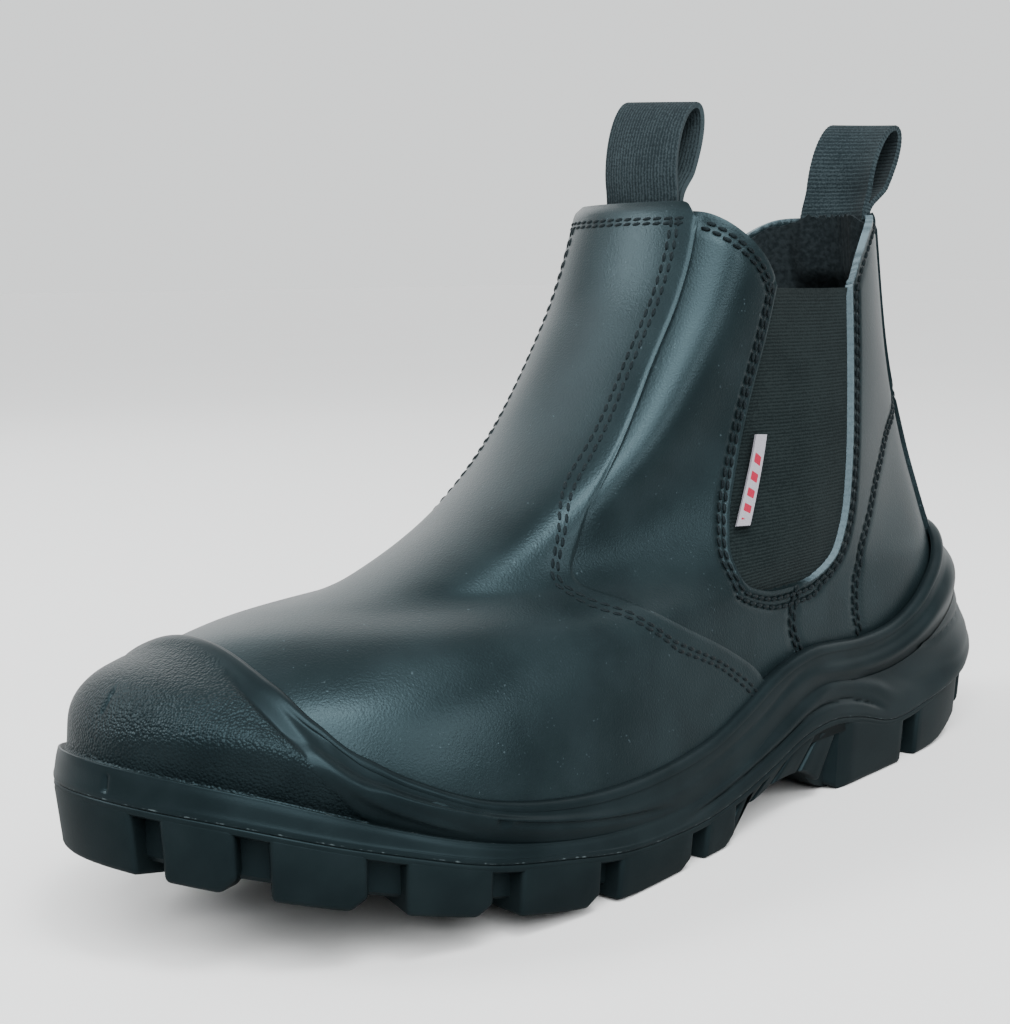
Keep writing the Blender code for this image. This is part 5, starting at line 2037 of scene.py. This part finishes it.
@dataclass
class Studio:
    """Pale floor, soft lights and the camera at the photograph's angle."""

    target: tuple[float, float, float] = (-1.33, -1.30, 73.44)
    azimuth: float = 132.8
    elevation: float = 8.43
    roll: float = -0.83
    distance: float = 452.6
    focal_px: float = 1717.4
    axis_px: tuple[float, float] = (606.8, 532.3)
    image_px: tuple[float, float] = (1010.0, 1024.0)
    reach: float = 1.45
    sky: float = 5.0
    sky_angle: float = 52.0
    sky_from: tuple[float, float, float] = (0.44, 0.57, 0.69)
    fill: float = 0.25
    backdrop: float = 1.25
    front_gloss: float = 0.06
    back_gloss: float = 1.75
    near_floor: Colour = (0.15, 0.16, 0.16, 1.0)
    far_floor: Colour = (0.60, 0.61, 0.61, 1.0)
    floor_way: tuple[float, float, float] = (-0.6, -0.8, 0.0)
    behind_way: tuple[float, float, float] = (-0.73, -0.67, 0.12)

    def build(self) -> None:
        """Set up the floor, the lights, the surroundings and the camera."""
        self.build_floor()
        self.build_lights()
        self.build_world()
        self.build_camera()

    def build_floor(self) -> None:
        """Wide pale floor, darker in the gloss of the shoe, most of all before it."""
        bpy.ops.object.select_all(action="DESELECT")
        bpy.ops.mesh.primitive_plane_add(size=60.0)
        floor = bpy.context.active_object
        floor.name = "floor"
        t = ShaderTree("pale_floor")
        pale = t.blend(t.noise(3.0, 2.0), (0.91, 0.92, 0.92, 1.0), (0.93, 0.94, 0.94, 1.0))
        # Painted reflection: glossy rays see a made-up floor, dark before the shoe and paler behind it, in
        # place of the even pale floor.
        gloss = Socket(t, t.node("ShaderNodeLightPath").outputs["Is Glossy Ray"])
        far = t.ramp(t.toward(t.place, self.floor_way), -0.15, 0.4)
        mirrored = t.blend(far, self.near_floor, self.far_floor)
        floor.data.materials.append(t.finish(t.blend(gloss, pale, mirrored), 0.7))

    def build_lights(self) -> None:
        """One wide soft light from the camera's side, and soft boxes for the gloss."""
        main = bpy.data.lights.new("main", "SUN")
        main.energy = self.sky
        main.angle = math.radians(self.sky_angle)
        self.hang(main, self.sky_from)
        boxes = (
            ("strip_box", (0.69, -0.515, 0.56), 0.5, 14.0),
            ("top_box", (0.13, 0.42, 0.85), 0.4, 12.0),
            ("side_box", (-0.20, 0.87, 0.40), 0.4, 5.5),
            ("instep_box", (0.33, -0.53, 0.77), 0.6, 3.5),
            ("guard_box", (-0.23, -0.84, 0.47), 0.6, 1.6),
        )
        for name, way, size, watts in boxes:
            data = bpy.data.lights.new(name, "AREA")
            data.energy = watts
            data.shape = "SQUARE"
            data.size = size
            self.hang(data, way)

    def hang(self, data: bpy.types.Light, way: tuple[float, float, float]) -> None:
        """Hang a lamp out along a direction from the shoe's middle, facing it.

        Args:
            data: the lamp.
            way: the direction.
        """
        lamp = bpy.data.objects.new(data.name, data)
        bpy.context.scene.collection.objects.link(lamp)
        back = unit(np.array(way))
        lamp.location = back * self.reach + (0.0, 0.0, self.target[2] * MM)
        lamp.rotation_euler = self.facing(back)

    def facing(self, back: Array) -> tuple[float, float, float]:
        """Euler angles of a lamp or camera whose back points along a direction."""
        b = unit(np.asarray(back, float))
        return (math.acos(b[2]), 0.0, math.atan2(b[0], -b[1]))

    def build_world(self) -> None:
        """Even pale surroundings for the floor, with the gloss brighter behind the shoe than before it."""
        world = bpy.data.worlds.new("studio")
        bpy.context.scene.world = world
        world.use_nodes = True
        t = NodeTree(world.node_tree)
        ray = t.node("ShaderNodeLightPath")
        seen = Socket(t, ray.outputs["Is Camera Ray"])
        lit = Socket(t, ray.outputs["Is Diffuse Ray"])
        way = t.node("ShaderNodeTexCoord").outputs["Generated"]
        behind = t.ramp(t.toward(way, self.behind_way), 0.1, 0.95)
        gloss = self.front_gloss + (self.back_gloss - self.front_gloss) * behind
        strength = seen * self.backdrop + lit * self.fill + (1 - seen - lit) * gloss
        shown = t.node("ShaderNodeBackground", sockets={"Color": (0.98, 1.0, 1.0, 1.0), "Strength": strength})
        t.node("ShaderNodeOutputWorld", sockets={"Surface": shown.outputs[0]})

    def build_camera(self) -> None:
        """Camera of the photograph, moved in to frame the one shoe."""
        az, el = math.radians(self.azimuth), math.radians(self.elevation)
        back = np.array([math.sin(az) * math.cos(el), -math.cos(az) * math.cos(el), math.sin(el)])
        data = bpy.data.cameras.new("camera")
        camera = bpy.data.objects.new("camera", data)
        bpy.context.scene.collection.objects.link(camera)
        camera.location = (np.array(self.target) + back * self.distance) * MM
        camera.rotation_euler = self.facing(back)
        camera.rotation_euler.rotate_axis("Z", math.radians(self.roll))
        data.clip_start = 0.01
        longest = max(self.image_px)
        data.lens = self.focal_px * data.sensor_width / longest
        data.shift_x = -(self.axis_px[0] - self.image_px[0] / 2) / longest
        data.shift_y = (self.axis_px[1] - self.image_px[1] / 2) / longest
        bpy.context.scene.camera = camera


def main() -> None:
    """Build every part of the shoe and its studio."""
    logging.basicConfig(level=logging.INFO, format="%(message)s")
    last = Last()
    sole = SoleForm(last)
    leather = Leather().material("leather")
    cut = CutEdge().material("leather_cut")
    lining = Cloth((0.006, 0.008, 0.009, 1), (0.014, 0.018, 0.020, 1), 700.0, 0.25).material("lining")
    knit = Cloth((0.0028, 0.0044, 0.0044, 1), (0.0095, 0.0135, 0.0135, 1), 2200.0, 0.08)
    elastic = knit.material("elastic")
    webbing = Cloth((0.008, 0.012, 0.014, 1), (0.025, 0.035, 0.039, 1), 2000.0, 0.08).material("webbing")
    yarn = Cloth((0.0024, 0.0036, 0.0042, 1), (0.008, 0.011, 0.0125, 1), 2600.0, 0.08, roughness=0.6)
    thread = yarn.material("thread")
    foam = Moulded((0.0040, 0.0070, 0.0080, 1), (0.0066, 0.0108, 0.0122, 1), 0.38).material("midsole_foam")
    tread = Moulded((0.0036, 0.0062, 0.0070, 1), (0.0060, 0.0096, 0.0106, 1), 0.46)
    rubber = tread.material("outsole_rubber")
    pad = Cloth((0.010, 0.012, 0.013, 1), (0.026, 0.031, 0.033, 1), 1500.0, 0.2).material("footbed_cloth")
    tag = TagCloth().material("tag_weave")
    stitching = Stitching(last)
    upper = Upper(last, sole, stitching)
    upper.plan_seams()
    for side in Side:
        upper.build_quarters(side, (leather, lining, cut))
        Elastic(last).build(side, elastic)
    upper.build_vamp((leather, lining, cut))
    upper.build_strip((leather, lining, cut))
    stitching.build(thread)
    Midsole(last, sole).build(foam)
    Outsole(sole).build(rubber)
    PullLoop(last, "pull_loop_front", -14.6, 157.0, -8.5, 27.5, 5.5, True).build(webbing)
    rear = PullLoop(last, "pull_loop_rear", -110.5, 155.5, -7.5, 28.0, 6.6, False, half_width=11.5, aside=1.6)
    rear.build(webbing)
    for front in (True, False):
        CollarLining(last).build(front, lining)
    Footbed(last).build(pad)
    Tag(last).build(tag)
    Studio().build()
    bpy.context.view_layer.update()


if __name__ == "__main__":
    main()
